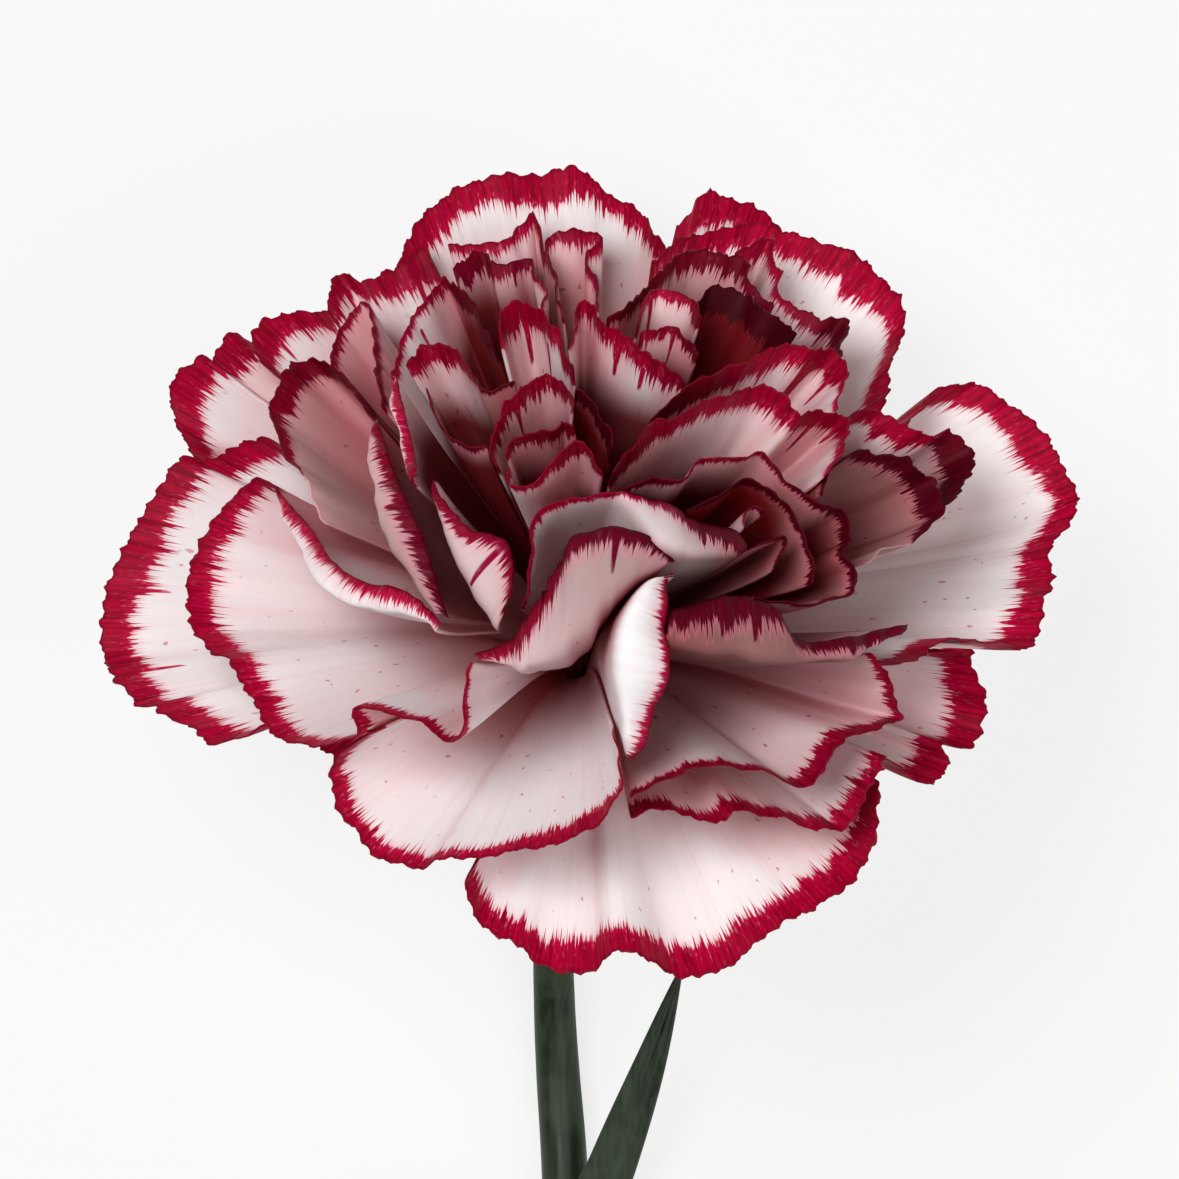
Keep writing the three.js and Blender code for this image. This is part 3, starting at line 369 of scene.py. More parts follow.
# How each petal is coloured, each a number or a list that runs along the rim: the width of its crimson
# margin in mm, how pink its ground is (in part painted shade, as the inner petals are made pinker and their
# margins darker), how far in from the rim in mm it darkens to crimson as painted shade where it stands in a
# hollow (99 for never), and how far its ground turns dull brown and its margin deep crimson as painted
# shade. Below 0, the margin leaves the rim bare.
LOOKS = {
    "guard_under_left": (2.3, 0.1, 99, 0),
    "guard_under_right": (2.3, 0.1, 99, 0),
    "guard_left_low": (2.3, 0.1, 99, 0),
    "guard_right_low": (2.3, 0.1, 99, 0),
    "guard_front": ([1.4, 1.8, 2.2, 2.4, 2.4, 2.2, 2.4, 2.4, 2.2, 2.2, 2.2, 2.2, 2.0, 1.6], 0.0, 99, 0),
    "front_low_left": ([1.1, 1.4, 1.5, 1.4, 1.3, 1.3, 1.4, 1.4, 1.5, 2.0, 1.8, 0.9, 0.2], 0.0, 99, 0),
    "front_right": (
        [0.8, 1.1, 1.4, 1.3, 1.2, 1.4, 1.5, 1.5, 1.5, 1.3, 1.1, 1.0, 0.7], 0.45, 99,
        [0.3, 0.25, 0.2, 0.2, 0.2, 0.2, 0.2, 0.15, 0.1],
    ),
    "front_right_under": ([1.7, 1.6, 1.3, 1.4, 1.6, 1.7, 1.7, 1.5, 1.3], 0.1, 99, 0),
    "front_right_flank": (
        [1.0, 1.2, 1.1, 0.8, 0.7, 0.7, 0.9, 1.1], 0.7, 99, [0.95, 0.9, 0.85, 0.85, 0.85, 0.8, 0.6, 0.5],
    ),
    "right_low": (2.6, 0.0, 99, 0),
    "right_big": (2.6, 0.0, 99, 0),
    "top_right_big": ([1.6, 1.8, 2.0, 2.3, 2.6, 2.7, 2.5, 2.2, 2.0, 1.7, 1.5], 0.08, 99, 0),
    "top_right_small": ([6.5, 6.0, 5.0, 3.2, 2.6, 3.0, 4.4, 5.0], 0.05, 99, 0),
    "top_left_big": ([2.2, 2.3, 2.3, 2.1, 1.9, 2.4, 2.7, 1.9, 1.5, 1.4, 1.3, 1.3], 0.0, 99, 0),
    "left_top_outer": ([2.2, 2.4, 2.7, 2.7, 2.4, 2.4, 2.4, 2.2, 2.0], 0.08, 99, 0),
    "left_top_second": (2.3, 0.1, 99, 0),
    "left_outer": ([2.4, 2.5, 2.5, 2.4], 0.0, 99, 0),
    "left_mid": (
        [0.5, 1.1, 1.3, 1.3, 1.3, 1.5, 1.8, 2.0, 2.0, 2.0, 2.0, 1.8, 1.6, 1.3, 0.8, 0.6, 0.45, 0.6, 0.8, 0.6],
        0.12, 99, 0,
    ),
    "left_inner": (
        [0, 0, 1.0, 1.6, 1.9, 2.1, 2.3, 2.3], 1.0, 99, [0.1, 0.1, 0.2, 0.2, 0.25, 0.25, 0.3, 0.35],
    ),
    "left_peak": ([0.8, 0.7, 0.9, 0.9, 0.7], 0.9, 99, 0.1),
    "left_crest": ([1.8, 2.0, 2.0, 2.3, 2.5, 2.3], 0.3, 4, 0.1),
    "upper_left_blade": (
        [0.9, 0.6, 0.6, 1.3, 2.0, 2.0, 1.8], [0.1, 0.05, 0.05, 0.4, 0.9, 1, 1], [6, 5, 4.5, 3, -1, -2, -2],
        [0, 0, 0, 0.05, 0.3, 0.35, 0.35],
    ),
    "top_inner_back": (
        [1.4, 0.9, 0.8, 1.0, 1.2, 0.6, 0.5, 0.5], [0.4, 0.2, 0.2, 0.4, 0.8, 0.8, 0.8, 0.8],
        [2, 1.6, 1.6, 2, 3, 4, 4, 4], [0.1, 0.05, 0.05, 0.1, 0.25, 0.25, 0.25, 0.25],
    ),
    "top_inner_mid": (
        [1.5, 1.4, 1.2, 1.0, 0.6, 0.5, 0.5], 0.8, [0, 0, 0, 0, 1.5, 3, 3],
        [0.35, 0.3, 0.3, 0.3, 0.2, 0.1, 0.1],
    ),
    "top_center_flag": ([0.9, 1.0, 1.0, 0.9, 0.8, 0.7], 0.7, 14, 0.05),
    "center_left_cup": (
        [1.3, 1.6, 1.8, 1.7, 0.9, 0.5, 0.5], [0.3, 0.3, 0.2, 0.2, 0.5, 1, 1], [2, 3.2, 4, 3.2, 1.6, 1, 1],
        [0.2, 0.1, 0.05, 0.15, 0.45, 0.45, 0.45],
    ),
    "center_flame": ([1.8, 2.2, 2.2, 2.0, 1.6, 1.3], 0.05, [5, 6, 5, 3, 2, 1.5], [0, 0, 0, 0, 0.15, 0.3]),
    "center_bud_top": (
        [1.3, 1.3, 1.4, 1.5, 1.4, 1.3, 1.3, 0.7], 0.1, [1.5, 3, 4.5, 5, 4.5, 3, 1.5, 1.2],
        [0.1, 0, 0, 0, 0, 0.05, 0.2, 0.3],
    ),
    "center_bud_back": ([0.7, 1.0, 1.1, 1.3, 1.4, 1.5], 0.7, 2.2, 0.15),
    "center_bud_front": (
        [0.8, 0.95, 0.9, 1.1, 1.35, 1.6, 1.3, 0.9], 0.1, [99, 99, 12, 9, 7, 5, 3, 2],
        [0, 0, 0, 0, 0, 0.05, 0.15, 0.3],
    ),
    # Painted shade: this petal is dark crimson all over.
    "center_bud_right": ([1.6, 1.5, 1.5, 1.7, 1.9], 1.0, -1, 0.7),
    "center_slope": (
        [0.5, 0.9, 1.7, 1.8, 1.5, 1.4, 1.3], 0.1, [1.5, 2.8, 4.4, 4, 3, 2, 1],
        [0.2, 0.05, 0, 0, 0, 0.2, 0.4],
    ),
    "rosette_ring": ([0.8, 1.1, 1.2, 1.3, 1.4, 1.4, 1.2, 1.1], 0.8, 2.2, 0.35),
    "rosette_fan": (
        [1.5, 1.5, 1.0, 0.8, 1.5, 2.3, 2.5, 2.2], 0.2, [2, 3, 7, 5, 2, 1, 0, 0],
        [0.2, 0.1, 0, 0, 0.3, 0.6, 0.8, 0.8],
    ),
    "rosette_bud_back": (
        [1.4, 1.0, 0.9, 0.9, 1.3], 0.15, [1.6, 1.8, 1.8, 1.2, 0.4], [0.15, 0.05, 0.05, 0.2, 0.5],
    ),
    "rosette_bud_front": ([1.1, 0.85, 0.85, 1.1], 0.4, [1.4, 1.4, 0.9, 0.2], [0.1, 0.2, 0.4, 0.6]),
    # Painted shade: this petal is dark crimson all over.
    "rosette_dark": (2.2, 1.0, -6, 1),
    "right_mid_fan": (
        [2.6, 2.5, 2.3, 2.0, 1.8, 2.0, 0.7, 0.5], 0.12, [2, 3, 5, 6, 6, 6, 6, 6],
        [0.4, 0.25, 0.1, 0, 0, 0, 0, 0],
    ),
    "right_mid_second": (
        [2.6, 2.6, 2.2, 1.9, 1.8, 1.8, 1.6, 1.9, 1.6, 1.0, 0.6], 0.4, [3, 4, 6, 7, 7, 7, 7, 7, 7, 7, 7],
        [0.4, 0.25, 0.08, 0.0, 0.0, 0.0, 0.0, 0.0, 0.0, 0.0, 0.0],
    ),
    "right_band": (
        [1.2, 2.0, 2.1, 1.8, 1.6, 2.3, 2.8, 3.0, 2.4], 0.1, 99,
        [0.1, 0.05, 0, 0, 0.1, 0.4, 0.75, 0.8, 0.6],
    ),
    "right_round": (
        [0.5, 1.0, 1.4, 1.6, 2.1, 2.2, 1.0, -0.9, -1.2], 1.0, 99,
        [0.9, 0.9, 0.8, 0.75, 0.75, 0.65, 0.6, 0.55, 0.6],
    ),
    "right_hood": (
        [1.1, 1.1, 0.8, 0.7, 0.7, 0.7, 0.55, 0.6, 1.1, 1.4], [0.5, 0.5, 0.4, 0.4, 0.4, 0.6, 1, 1, 1, 1],
        [0.9, 1.0, 1.6, 2.0, 2.2, 2.2, 2.0, 1.6, 1, 0.8],
        [0.6, 0.5, 0.25, 0.1, 0.1, 0.25, 0.5, 0.6, 0.8, 0.8],
    ),
    "cavity_back": (
        [0.6, 0.7, 0.8, 0.7, 0.6, 0.6, 0.8], 1.0, [-3, -3, -3, -2, 0, 2, 3],
        [1, 1, 1, 0.9, 0.75, 0.65, 0.6],
    ),
    "cavity_right": (
        [1.0, 0.7, 0.7, 0.9, 0.9, 0.8, 0.6], 1.0, [1, 1.5, 3, 5, 5, 5, 5],
        [0.9, 0.8, 0.5, 0.35, 0.35, 0.5, 0.6],
    ),
    "cavity_curl": ([0.25, 0.35, 0.6, 0.8], 0.1, 1.0, [0.2, 0.3, 0.5, 0.6]),
    "center_wave": (
        [1.1, 1.3, 1.3, 1.0, 0.7, 0.6, 0.8, 1.2, 2.2], 0.2, 99, [0, 0, 0, 0, 0.05, 0.2, 0.4, 0.7, 1],
    ),
    "center_wave_under": ([0.3, 0.6, 0.8, 0.4, 0.2], 1.0, 99, [0.6, 0.6, 0.6, 0.6, 0.6]),
    "center_front_wave": (
        [1.0, 1.1, 1.2, 1.1, 0.9, 0.8, 0.8, 0.7, 0.5], 0.6, 99,
        [0.2, 0.25, 0.3, 0.35, 0.45, 0.55, 0.6, 0.65, 0.7],
    ),
    "white_narrow": ([0.4, 0.65, 0.5, 0.45, 0.6, 0.7, 0.6], 0.0, 99, 0),
    "left_blade_outer": (
        [0.8, 0.7, 0.8, 0.85, 0.8, 0.8, 0.8], 0.8, 99, [0.35, 0.3, 0.3, 0.4, 0.5, 0.6, 0.65],
    ),
    "left_blade_middle": ([0.9, 0.8, 0.8, 0.8, 0.9], 0.2, [4, 3.5, 2.5, 1.5, 1], [0, 0, 0, 0.1, 0.3]),
    "left_blade_inner": (
        [0.9, 0.8, 0.7, 0.7, 0.65, 0.6, 0.5], 0.55, 99, [0.4, 0.3, 0.25, 0.25, 0.3, 0.35, 0.45],
    ),
    "left_lip": ([0.6, 0.7, 0.7, 0.7, 0.6], 1.0, -1, 0.35),
}

# Where a petal arches over on the way to its claw: the crest's place for each point of the rim, measured
# like the rim, or None where the petal is a plain fan.
FOLDS = {
    "white_narrow": [
        (6.9, 6.3, 33.6), (4.6, 5.3, 35.6), (3.0, 2.6, 36.6), (2.5, -0.6, 36.8), (2.7, -3.8, 36.3),
        (3.1, -6.5, 35), (3.6, -8.1, 33.8),
    ],
    "left_blade_outer": [
        (-16.8, 18.4, 20.4), (-17.1, 16, 22.5), (-17, 13.6, 24.2), (-16.3, 11, 26), (-15.3, 8.4, 28),
        (-13.8, 6, 29.8), (-11.6, 3.2, 32.3),
    ],
    "left_blade_middle": [
        (-15.6, 22.2, 18.6), (-15.6, 20, 21.3), (-15.1, 17.8, 23.8), (-14.6, 15.8, 25.4), (-13.3, 13.6, 28),
    ],
    "left_blade_inner": [
        (-12.3, 13.8, 28.4), (-11.8, 11.6, 29), (-11, 9, 29.8), (-9.9, 6.5, 30.8), (-8.8, 4.4, 31.6),
        (-7.6, 2.8, 32.3), (-6.8, 1.8, 33),
    ],
    "left_mid": [None] * 15 + [
        (-24.3, 10.3, 17.8), (-21.3, 5.8, 24.5), (-18.6, 3.9, 27), (-14.8, 3.0, 29.3), (-11.8, 1.6, 32),
    ],
    "center_front_wave": [
        (-8.3, -0.7, 33.6), (-6.3, -1.1, 34.4), (-4.4, -1.2, 35), (-2.8, -1.0, 35.4), (-1.2, -0.3, 35.4),
        (0.4, 1.0, 35), (1.7, 3.2, 34.6), (3.7, 5.4, 34), (6.6, 7.0, 33.3),
    ],
    "center_wave": [None] * 5 + [(5.8, 8.2, 33), (8.6, 7.5, 32.8), (11.2, 7.7, 32), (12.8, 8.2, 30.6)],
    "front_right_flank": [
        (6.3, 0.6, 34.6), (9.5, -0.2, 34.3), (13, -0.6, 33), (15.3, -0.7, 31.8), (17.6, -0.9, 30.6),
        (20.3, -0.7, 29.2), (23, 0.4, 27.2), (25.4, 1.9, 24.6),
    ],
}

# Dark streaks along the ribs: the share of the way along the rim, where they start and end in from it, and
# their width, in mm. Most are crimson markings; those on the rosette buds are painted shade lines that part
# each bud into petals.
STREAKS_AND_SHADE_LINES = {
    "center_slope": [(0.61, 0.3, 3.6, 1.3), (0.8, 1.4, 3.2, 0.4)],
    "center_flame": [(0.3, 1.6, 5.0, 0.55), (0.52, 2.6, 6.0, 0.4)],
    # Painted shade lines that part the rosette buds into petals.
    "rosette_bud_back": [(0.42, 0.2, 4.0, 0.5)],
    "rosette_bud_front": [(0.5, 0.2, 3.4, 0.5)],
    "center_bud_top": [(0.5, 0.8, 2.4, 0.2), (0.44, 0.8, 5, 0.18), (0.62, 0.8, 2.6, 0.14)],
    "right_mid_fan": [(0.67, 1.2, 8, 1.3), (0.78, 1.0, 4.2, 0.5), (0.5, 1.2, 3.2, 0.25)],
    "left_blade_inner": [(0.62, 0.6, 3.6, 0.28)],
    "center_front_wave": [(0.76, 0.6, 2.2, 0.25)],
    "right_mid_second": [(0.71, 1.2, 4.5, 0.4), (0.66, 1.2, 2.6, 0.2), (0.78, 1.0, 3.0, 0.3)],
    "upper_left_blade": [(0.3, 1.5, 6, 0.28)],
    "left_crest": [(0.68, 1.0, 6, 0.3), (0.2, 1.0, 5, 0.3)],
    "left_top_second": [(0.3, 1.0, 4, 0.22), (0.42, 1.0, 3, 0.18)],
    "left_outer": [(0.36, 1.5, 5, 0.25), (0.52, 1.5, 4.5, 0.2)],
    "front_right_flank": [(0.3, 0.8, 2.4, 0.25), (0.18, 0.8, 2.0, 0.2)],
}

# ---------------------------------------------------------------- the bloom's frame and its flow of petals

def unit(v):
    return v / np.linalg.norm(v)


MOUTH = np.array([0.0, 0.0, MOUTH_HEIGHT])
_TILT = math.radians(AXIS_FROM_UPRIGHT)
_LEAN = math.radians(AXIS_LEAN)
ACROSS = np.array([math.cos(_LEAN), -math.sin(_LEAN), 0.0])
AXIS = np.array([
    math.sin(_LEAN) * math.sin(_TILT),
    math.cos(_LEAN) * math.sin(_TILT),
    math.cos(_TILT),
])
OVER = np.cross(AXIS, ACROSS)
HEART = MOUTH - AXIS * HEART_DEPTH
CALYX_FOOT = MOUTH - AXIS * (CALYX_LENGTH + CALYX_BELOW)

# The stem's middle line from under the calyx to the cut, with its radius at each point.
STEM = np.array([
    (*(CALYX_FOOT - AXIS * GAP), 1.85),
    (*(CALYX_FOOT - AXIS * (GAP + 2.2)), 1.75),
    (-2.6, -24.6, 5.1, 1.7),
    (-2.6, -30, 3.0, 1.75),
    (-2.3, -36, 2.05, 1.85),
    (-1.8, -43, 2.2, 1.95),
    (-1.3, -57, 2.95, 2.0),
    (-0.6, -80, 2.3, 2.05),
    (-1.2, -105, 2.4, 2.1),
    (-2.6, -128, 3.1, 2.15),
    (-3.4, -155, 2.5, 2.2),
    (-3.2, -182, 2.3, 2.25),
    (-2.4, -206, 2.35, 2.3),
])


def spread(distance):
    return 1.0 - np.exp(-((distance / SPREAD_LENGTH) ** SPREAD_POWER))


def to_flow(points):
    """Rim points as their lean from the axis (a flat map of directions) and their distance from the heart."""
    offset = np.asarray(points, float) + MOUTH - HEART
    distance = np.linalg.norm(offset, axis=1)
    angle = np.arccos(np.clip(offset @ AXIS / distance, -1, 1))
    side = np.arctan2(offset @ OVER, offset @ ACROSS)
    lean = angle / spread(distance)
    return np.stack([lean * np.cos(side), lean * np.sin(side), distance], axis=1)


def from_flow(lean_x, lean_y, distance):
    lean = np.hypot(lean_x, lean_y)
    angle = lean * spread(distance)
    side = np.arctan2(lean_y, lean_x)
    outwards = np.sin(angle) * distance
    return (
        HEART
        + AXIS * (np.cos(angle) * distance)[..., None]
        + ACROSS * (np.cos(side) * outwards)[..., None]
        + OVER * (np.sin(side) * outwards)[..., None]
    )


def smooth_line(points, t):
    """A centripetal Catmull-Rom curve through the points, read at each t from 0 to 1."""
    points = np.asarray(points, float)
    count = len(points)
    padded = np.vstack([2 * points[0] - points[1], points, 2 * points[-1] - points[-2]])
    place = np.clip(np.asarray(t, float), 0, 1) * (count - 1)
    index = np.minimum(place.astype(int), count - 2)
    w = (place - index)[..., None]
    p0, p1, p2, p3 = (padded[index + k] for k in range(4))
    d0, d1, d2 = (
        np.maximum(np.sum((b - a) ** 2, axis=-1), 1e-12)[..., None] ** 0.25
        for a, b in ((p0, p1), (p1, p2), (p2, p3))
    )
    m1 = ((p1 - p0) / d0 - (p2 - p0) / (d0 + d1) + (p2 - p1) / d1) * d1
    m2 = ((p2 - p1) / d1 - (p3 - p1) / (d1 + d2) + (p3 - p2) / d2) * d1
    c2 = -3 * p1 + 3 * p2 - 2 * m1 - m2
    c3 = 2 * p1 - 2 * p2 + m1 + m2
    return p1 + m1 * w + c2 * w ** 2 + c3 * w ** 3


def zigzag(rng, length, spacing, depth):
    """A function of place along a rim that goes up and down between random heights, for teeth."""
    count = int(length / spacing) + 3
    knots = np.cumsum(rng.uniform(0.6, 1.4, count)) * spacing - spacing
    heights = rng.uniform(0.3, 1.0, count) * depth
    heights[::2] *= -0.25
    return lambda s: np.interp(s, knots, heights)


def soft_steps(rng, length, spacing, depth):
    """A smooth random function of place along a rim, for its scallops."""
    knots = np.arange(-spacing, length + 2 * spacing, spacing)
    heights = rng.uniform(-0.6, 0.6, len(knots)) * depth

    def height(s):
        place = (s - knots[0]) / spacing
        index = place.astype(int)
        w = place - index
        w = w * w * (3 - 2 * w)
        return heights[index] * (1 - w) + heights[index + 1] * w

    return height


# ---------------------------------------------------------------- meshes

def add_mesh(name, points, faces, smooth=True):
    mesh = bpy.data.meshes.new(name)
    mesh.from_pydata([tuple(p) for p in points], [], faces)
    mesh.polygons.foreach_set("use_smooth", [smooth] * len(mesh.polygons))
    mesh.update()
    piece = bpy.data.objects.new(name, mesh)
    bpy.context.scene.collection.objects.link(piece)
    return piece


def sheet_faces(along, across):
    """Quads of a closed sheet: a front grid, a back grid and the strip round their border."""
    grid = np.arange(along * across).reshape(along, across)
    a, b, c, d = grid[:-1, :-1], grid[:-1, 1:], grid[1:, 1:], grid[1:, :-1]
    front = np.stack([a, b, c, d], -1).reshape(-1, 4)
    far = along * across
    back = front[:, ::-1] + far
    border = np.concatenate([grid[0, :-1], grid[:-1, -1], grid[-1, :0:-1], grid[:0:-1, 0]])
    ahead = np.roll(border, -1)
    strip = np.stack([ahead, border, border + far, ahead + far], -1)
    return np.concatenate([front, back, strip])


def grid_normals(rows):
    sideways = np.gradient(rows, axis=1)
    onwards = np.gradient(rows, axis=0)
    normal = np.cross(sideways, onwards)
    return normal / np.maximum(np.linalg.norm(normal, axis=-1, keepdims=True), 1e-12)


def thicken(rows, normal, thick):
    """Points of a sheet's front and back grids, in the frame and in metres."""
    offset = normal * thick[..., None] / 2
    return (np.concatenate([(rows + offset).reshape(-1, 3), (rows - offset).reshape(-1, 3)]) + SHIFT) * MM


def set_attribute(mesh, name, kind, values):
    attribute = mesh.attributes.new(name, kind, "POINT")
    attribute.data.foreach_set("vector" if kind == "FLOAT_VECTOR" else "value", np.ravel(values))


# How far in from the rim, in mm, the rows of a petal's grid run: close together where it frills.
ROW_DISTANCES = np.array([
    0, 0.18, 0.4, 0.7, 1.05, 1.45, 1.9, 2.4, 3.0, 3.6, 4.3, 5.1,
    6.0, 7.1, 8.4, 9.9, 11.7, 13.8, 16.4, 19.5, 23.5, 28.5,
])


def fan_width(share):
    """A petal's width at a share of the way from its claw to its rim, as a share of the rim's."""
    return 1 - (1 - CLAW_SHARE) * (1 - share) ** FAN_POWER


def fold_pushes(line, rim, crests):
    """For each point of a rim, how far its crest stands off the plain fan, and how far it is from the rim."""
    pushes = np.zeros((len(rim), 3))
    reaches = np.full(len(rim), 3.0)
    for k, (point, crest) in enumerate(zip(rim, crests)):
        if crest is None:
            continue
        reaches[k] = max(np.linalg.norm(np.subtract(crest, point)), 0.3)
        blade = line[k, 2] - CLAW_TOP
        share = 1 - reaches[k] / blade
        rib = smooth_line(line, 0.5 + (k / (len(rim) - 1) - 0.5) * fan_width(share))
        pushes[k] = crest + MOUTH - from_flow(rib[0], rib[1], CLAW_TOP + blade * share)
    return pushes, reaches


def petal_sheet(rim, crests, bands, spacing, rng, tooth_depth):
    """The middle sheet of a petal with, for each point, how far it is from the rim and along it, in mm."""
    line = to_flow(rim)
    pushes, reaches = fold_pushes(line, rim, crests or [None] * len(rim))
    fine = np.linspace(0, 1, 600)
    at_rim = from_flow(*smooth_line(line, fine).T)
    steps = np.linalg.norm(np.diff(at_rim, axis=0), axis=1)
    length = np.concatenate([[0], np.cumsum(steps)])
    count = max(int(length[-1] / spacing), 12)
    u = np.interp(np.linspace(0, length[-1], count), length, fine)
    along = np.linspace(0, length[-1], count)
    reach = smooth_line(line, u)[:, 2]
    blade = reach - CLAW_TOP
    longest = blade.max()
    distances = ROW_DISTANCES[ROW_DISTANCES < longest - 1.5]
    shares = np.concatenate([1 - distances / longest, [0]])[::-1]
    teeth = 0
    for gap, depth in TEETH:
        teeth = teeth + zigzag(rng, length[-1], gap, tooth_depth * depth)(along)
    teeth = teeth + soft_steps(rng, length[-1], SCALLOPS[0], tooth_depth * SCALLOPS[1])(along)
    # A narrow margin marks a rim that is seen edge on, which is nearly smooth.
    bands = np.interp(u, np.linspace(0, 1, len(bands)), bands)
    teeth = teeth * np.clip(bands / FULL_TOOTH_BAND, 0.15, 1)
    push = smooth_line(pushes, u)
    turn = np.maximum(smooth_line(reaches[:, None], u)[:, 0], 0.3)
    rows = []
    edge = []
    for share in shares:
        rib = smooth_line(line, 0.5 + (u - 0.5) * fan_width(share))
        gap = blade * (1 - share)
        near = 1 - (1 - np.minimum(gap / turn, 1)) ** 2
        past = np.clip((gap - turn) / np.maximum(blade - turn, 0.5), 0, 1)
        weight = near * (1 - past * past * (3 - 2 * past))
        plain = from_flow(rib[:, 0], rib[:, 1], CLAW_TOP + blade * share + teeth * np.exp(-gap / TOOTH_FADE))
        rows.append(plain + push * weight[:, None])
        edge.append(gap)
    foot = rows[0] - AXIS * CLAW_LENGTH
    rows = np.array([foot] + rows)
    edge = np.array([edge[0] + CLAW_LENGTH] + edge)
    return rows, edge, np.broadcast_to(along, edge.shape)


def make_petal(name, rim, sizes, seed):
    """One petal as a closed sheet, with what its frill and its colours need on each point."""
    rng = np.random.default_rng(seed)
    band = LOOKS[name][0]
    bands = band if isinstance(band, list) else [band, band]
    rows, edge, along = petal_sheet(
        rim, FOLDS.get(name), bands, sizes.column_spacing / MM, rng, sizes.tooth_depth / MM,
    )
    normal = grid_normals(rows)
    thick = sizes.petal_thickness / MM * (EDGE_SHARE + (1 - EDGE_SHARE) * np.clip(edge / EDGE_REACH, 0, 1))
    thick[:2] = CLAW_THICKNESS
    piece = add_mesh(f"petal_{name}", thicken(rows, normal, thick), sheet_faces(*edge.shape).tolist())
    mesh = piece.data
    set_attribute(mesh, "edge", "FLOAT", np.tile(edge.ravel(), 2))
    set_attribute(mesh, "along", "FLOAT", np.tile(along.ravel(), 2))
    set_attribute(mesh, "sheet", "FLOAT_VECTOR", np.tile(normal.reshape(-1, 3), (2, 1)))
    set_attribute(mesh, "petal", "FLOAT", np.full(edge.size * 2, seed * 0.173))
    share = along / along.max()
    for label, value in zip(("band", "tint", "hollow", "shade"), LOOKS[name]):
        listed = np.atleast_1d(value).astype(float)
        values = np.interp(share, np.linspace(0, 1, len(listed)), listed)
        set_attribute(mesh, label, "FLOAT", np.tile(values.ravel(), 2))
    streak = np.zeros(edge.shape)
    for place, start, end, width in STREAKS_AND_SHADE_LINES.get(name, []):
        taper = np.clip((edge - start) / (end - start), 0, 1)
        across = np.abs(along - place * along.max()) - width * (0.5 - 0.4 * taper)
        ends = np.maximum(start - edge, edge - end)
        streak = np.maximum(streak, np.clip(1 - np.maximum(across / 0.2, ends / 0.5), 0, 1))
    set_attribute(mesh, "streak", "FLOAT", np.tile(streak.ravel(), 2))
    return piece


# ---------------------------------------------------------------- node helpers

def srgb(hex_code):
    value = [int(hex_code[i:i + 2], 16) / 255 for i in (0, 2, 4)]
    return tuple(v / 12.92 if v <= 0.04045 else ((v + 0.055) / 1.055) ** 2.4 for v in value) + (1.0,)


def new_tree(name, kind, inputs, outputs):
    tree = bpy.data.node_groups.new(name, kind)
    for label, socket, default in inputs:
        item = tree.interface.new_socket(label, in_out="INPUT", socket_type=socket)
        if default is not None:
            item.default_value = default
    for label, socket in outputs:
        tree.interface.new_socket(label, in_out="OUTPUT", socket_type=socket)
    return tree, tree.nodes.new("NodeGroupInput"), tree.nodes.new("NodeGroupOutput")


def link(tree, a, b):
    tree.links.new(a, b)


def feed(tree, value, socket):
    """Set a socket to a number or colour, or link another node's output to it."""
    if isinstance(value, (int, float, tuple)):
        socket.default_value = value
    else:
        link(tree, value, socket)


def calc(tree, operation, *values, clamp=False):
    node = tree.nodes.new("ShaderNodeMath")
    node.operation = operation
    node.use_clamp = clamp
    for socket, value in zip(node.inputs, values):
        feed(tree, value, socket)
    return node.outputs[0]


def join_xyz(tree, *values):
    node = tree.nodes.new("ShaderNodeCombineXYZ")
    for socket, value in zip(node.inputs, values):
        feed(tree, value, socket)
    return node.outputs[0]


def noise(tree, vector, scale=1.0, detail=2.0):
    node = tree.nodes.new("ShaderNodeTexNoise")
    node.inputs["Scale"].default_value = scale
    node.inputs["Detail"].default_value = detail
    link(tree, vector, node.inputs["Vector"])
    return node.outputs[0]


def ease(tree, value, low, high, start=0.0, end=1.0):
    """A smooth change from start to end as the value goes from low to high."""
    node = tree.nodes.new("ShaderNodeMapRange")
    node.interpolation_type = "SMOOTHSTEP"
    link(tree, value, node.inputs["Value"])
    for label, number in (("From Min", low), ("From Max", high), ("To Min", start), ("To Max", end)):
        node.inputs[label].default_value = number
    return node.outputs[0]


# A Mix node has a socket for each kind of value. These are the places of the ones for colours.
MIX_FACTOR, MIX_A, MIX_B, MIX_RESULT = 0, 6, 7, 2


def blend_colour(tree, factor, a, b, kind="MIX"):
    node = tree.nodes.new("ShaderNodeMix")
    node.data_type = "RGBA"
    node.blend_type = kind
    for place, value in ((MIX_FACTOR, factor), (MIX_A, a), (MIX_B, b)):
        feed(tree, value, node.inputs[place])
    return node.outputs[MIX_RESULT]


def attribute(tree, name):
    node = tree.nodes.new("ShaderNodeAttribute")
    node.attribute_name = name
    return node.outputs["Fac"]


# ---------------------------------------------------------------- frill of the petals

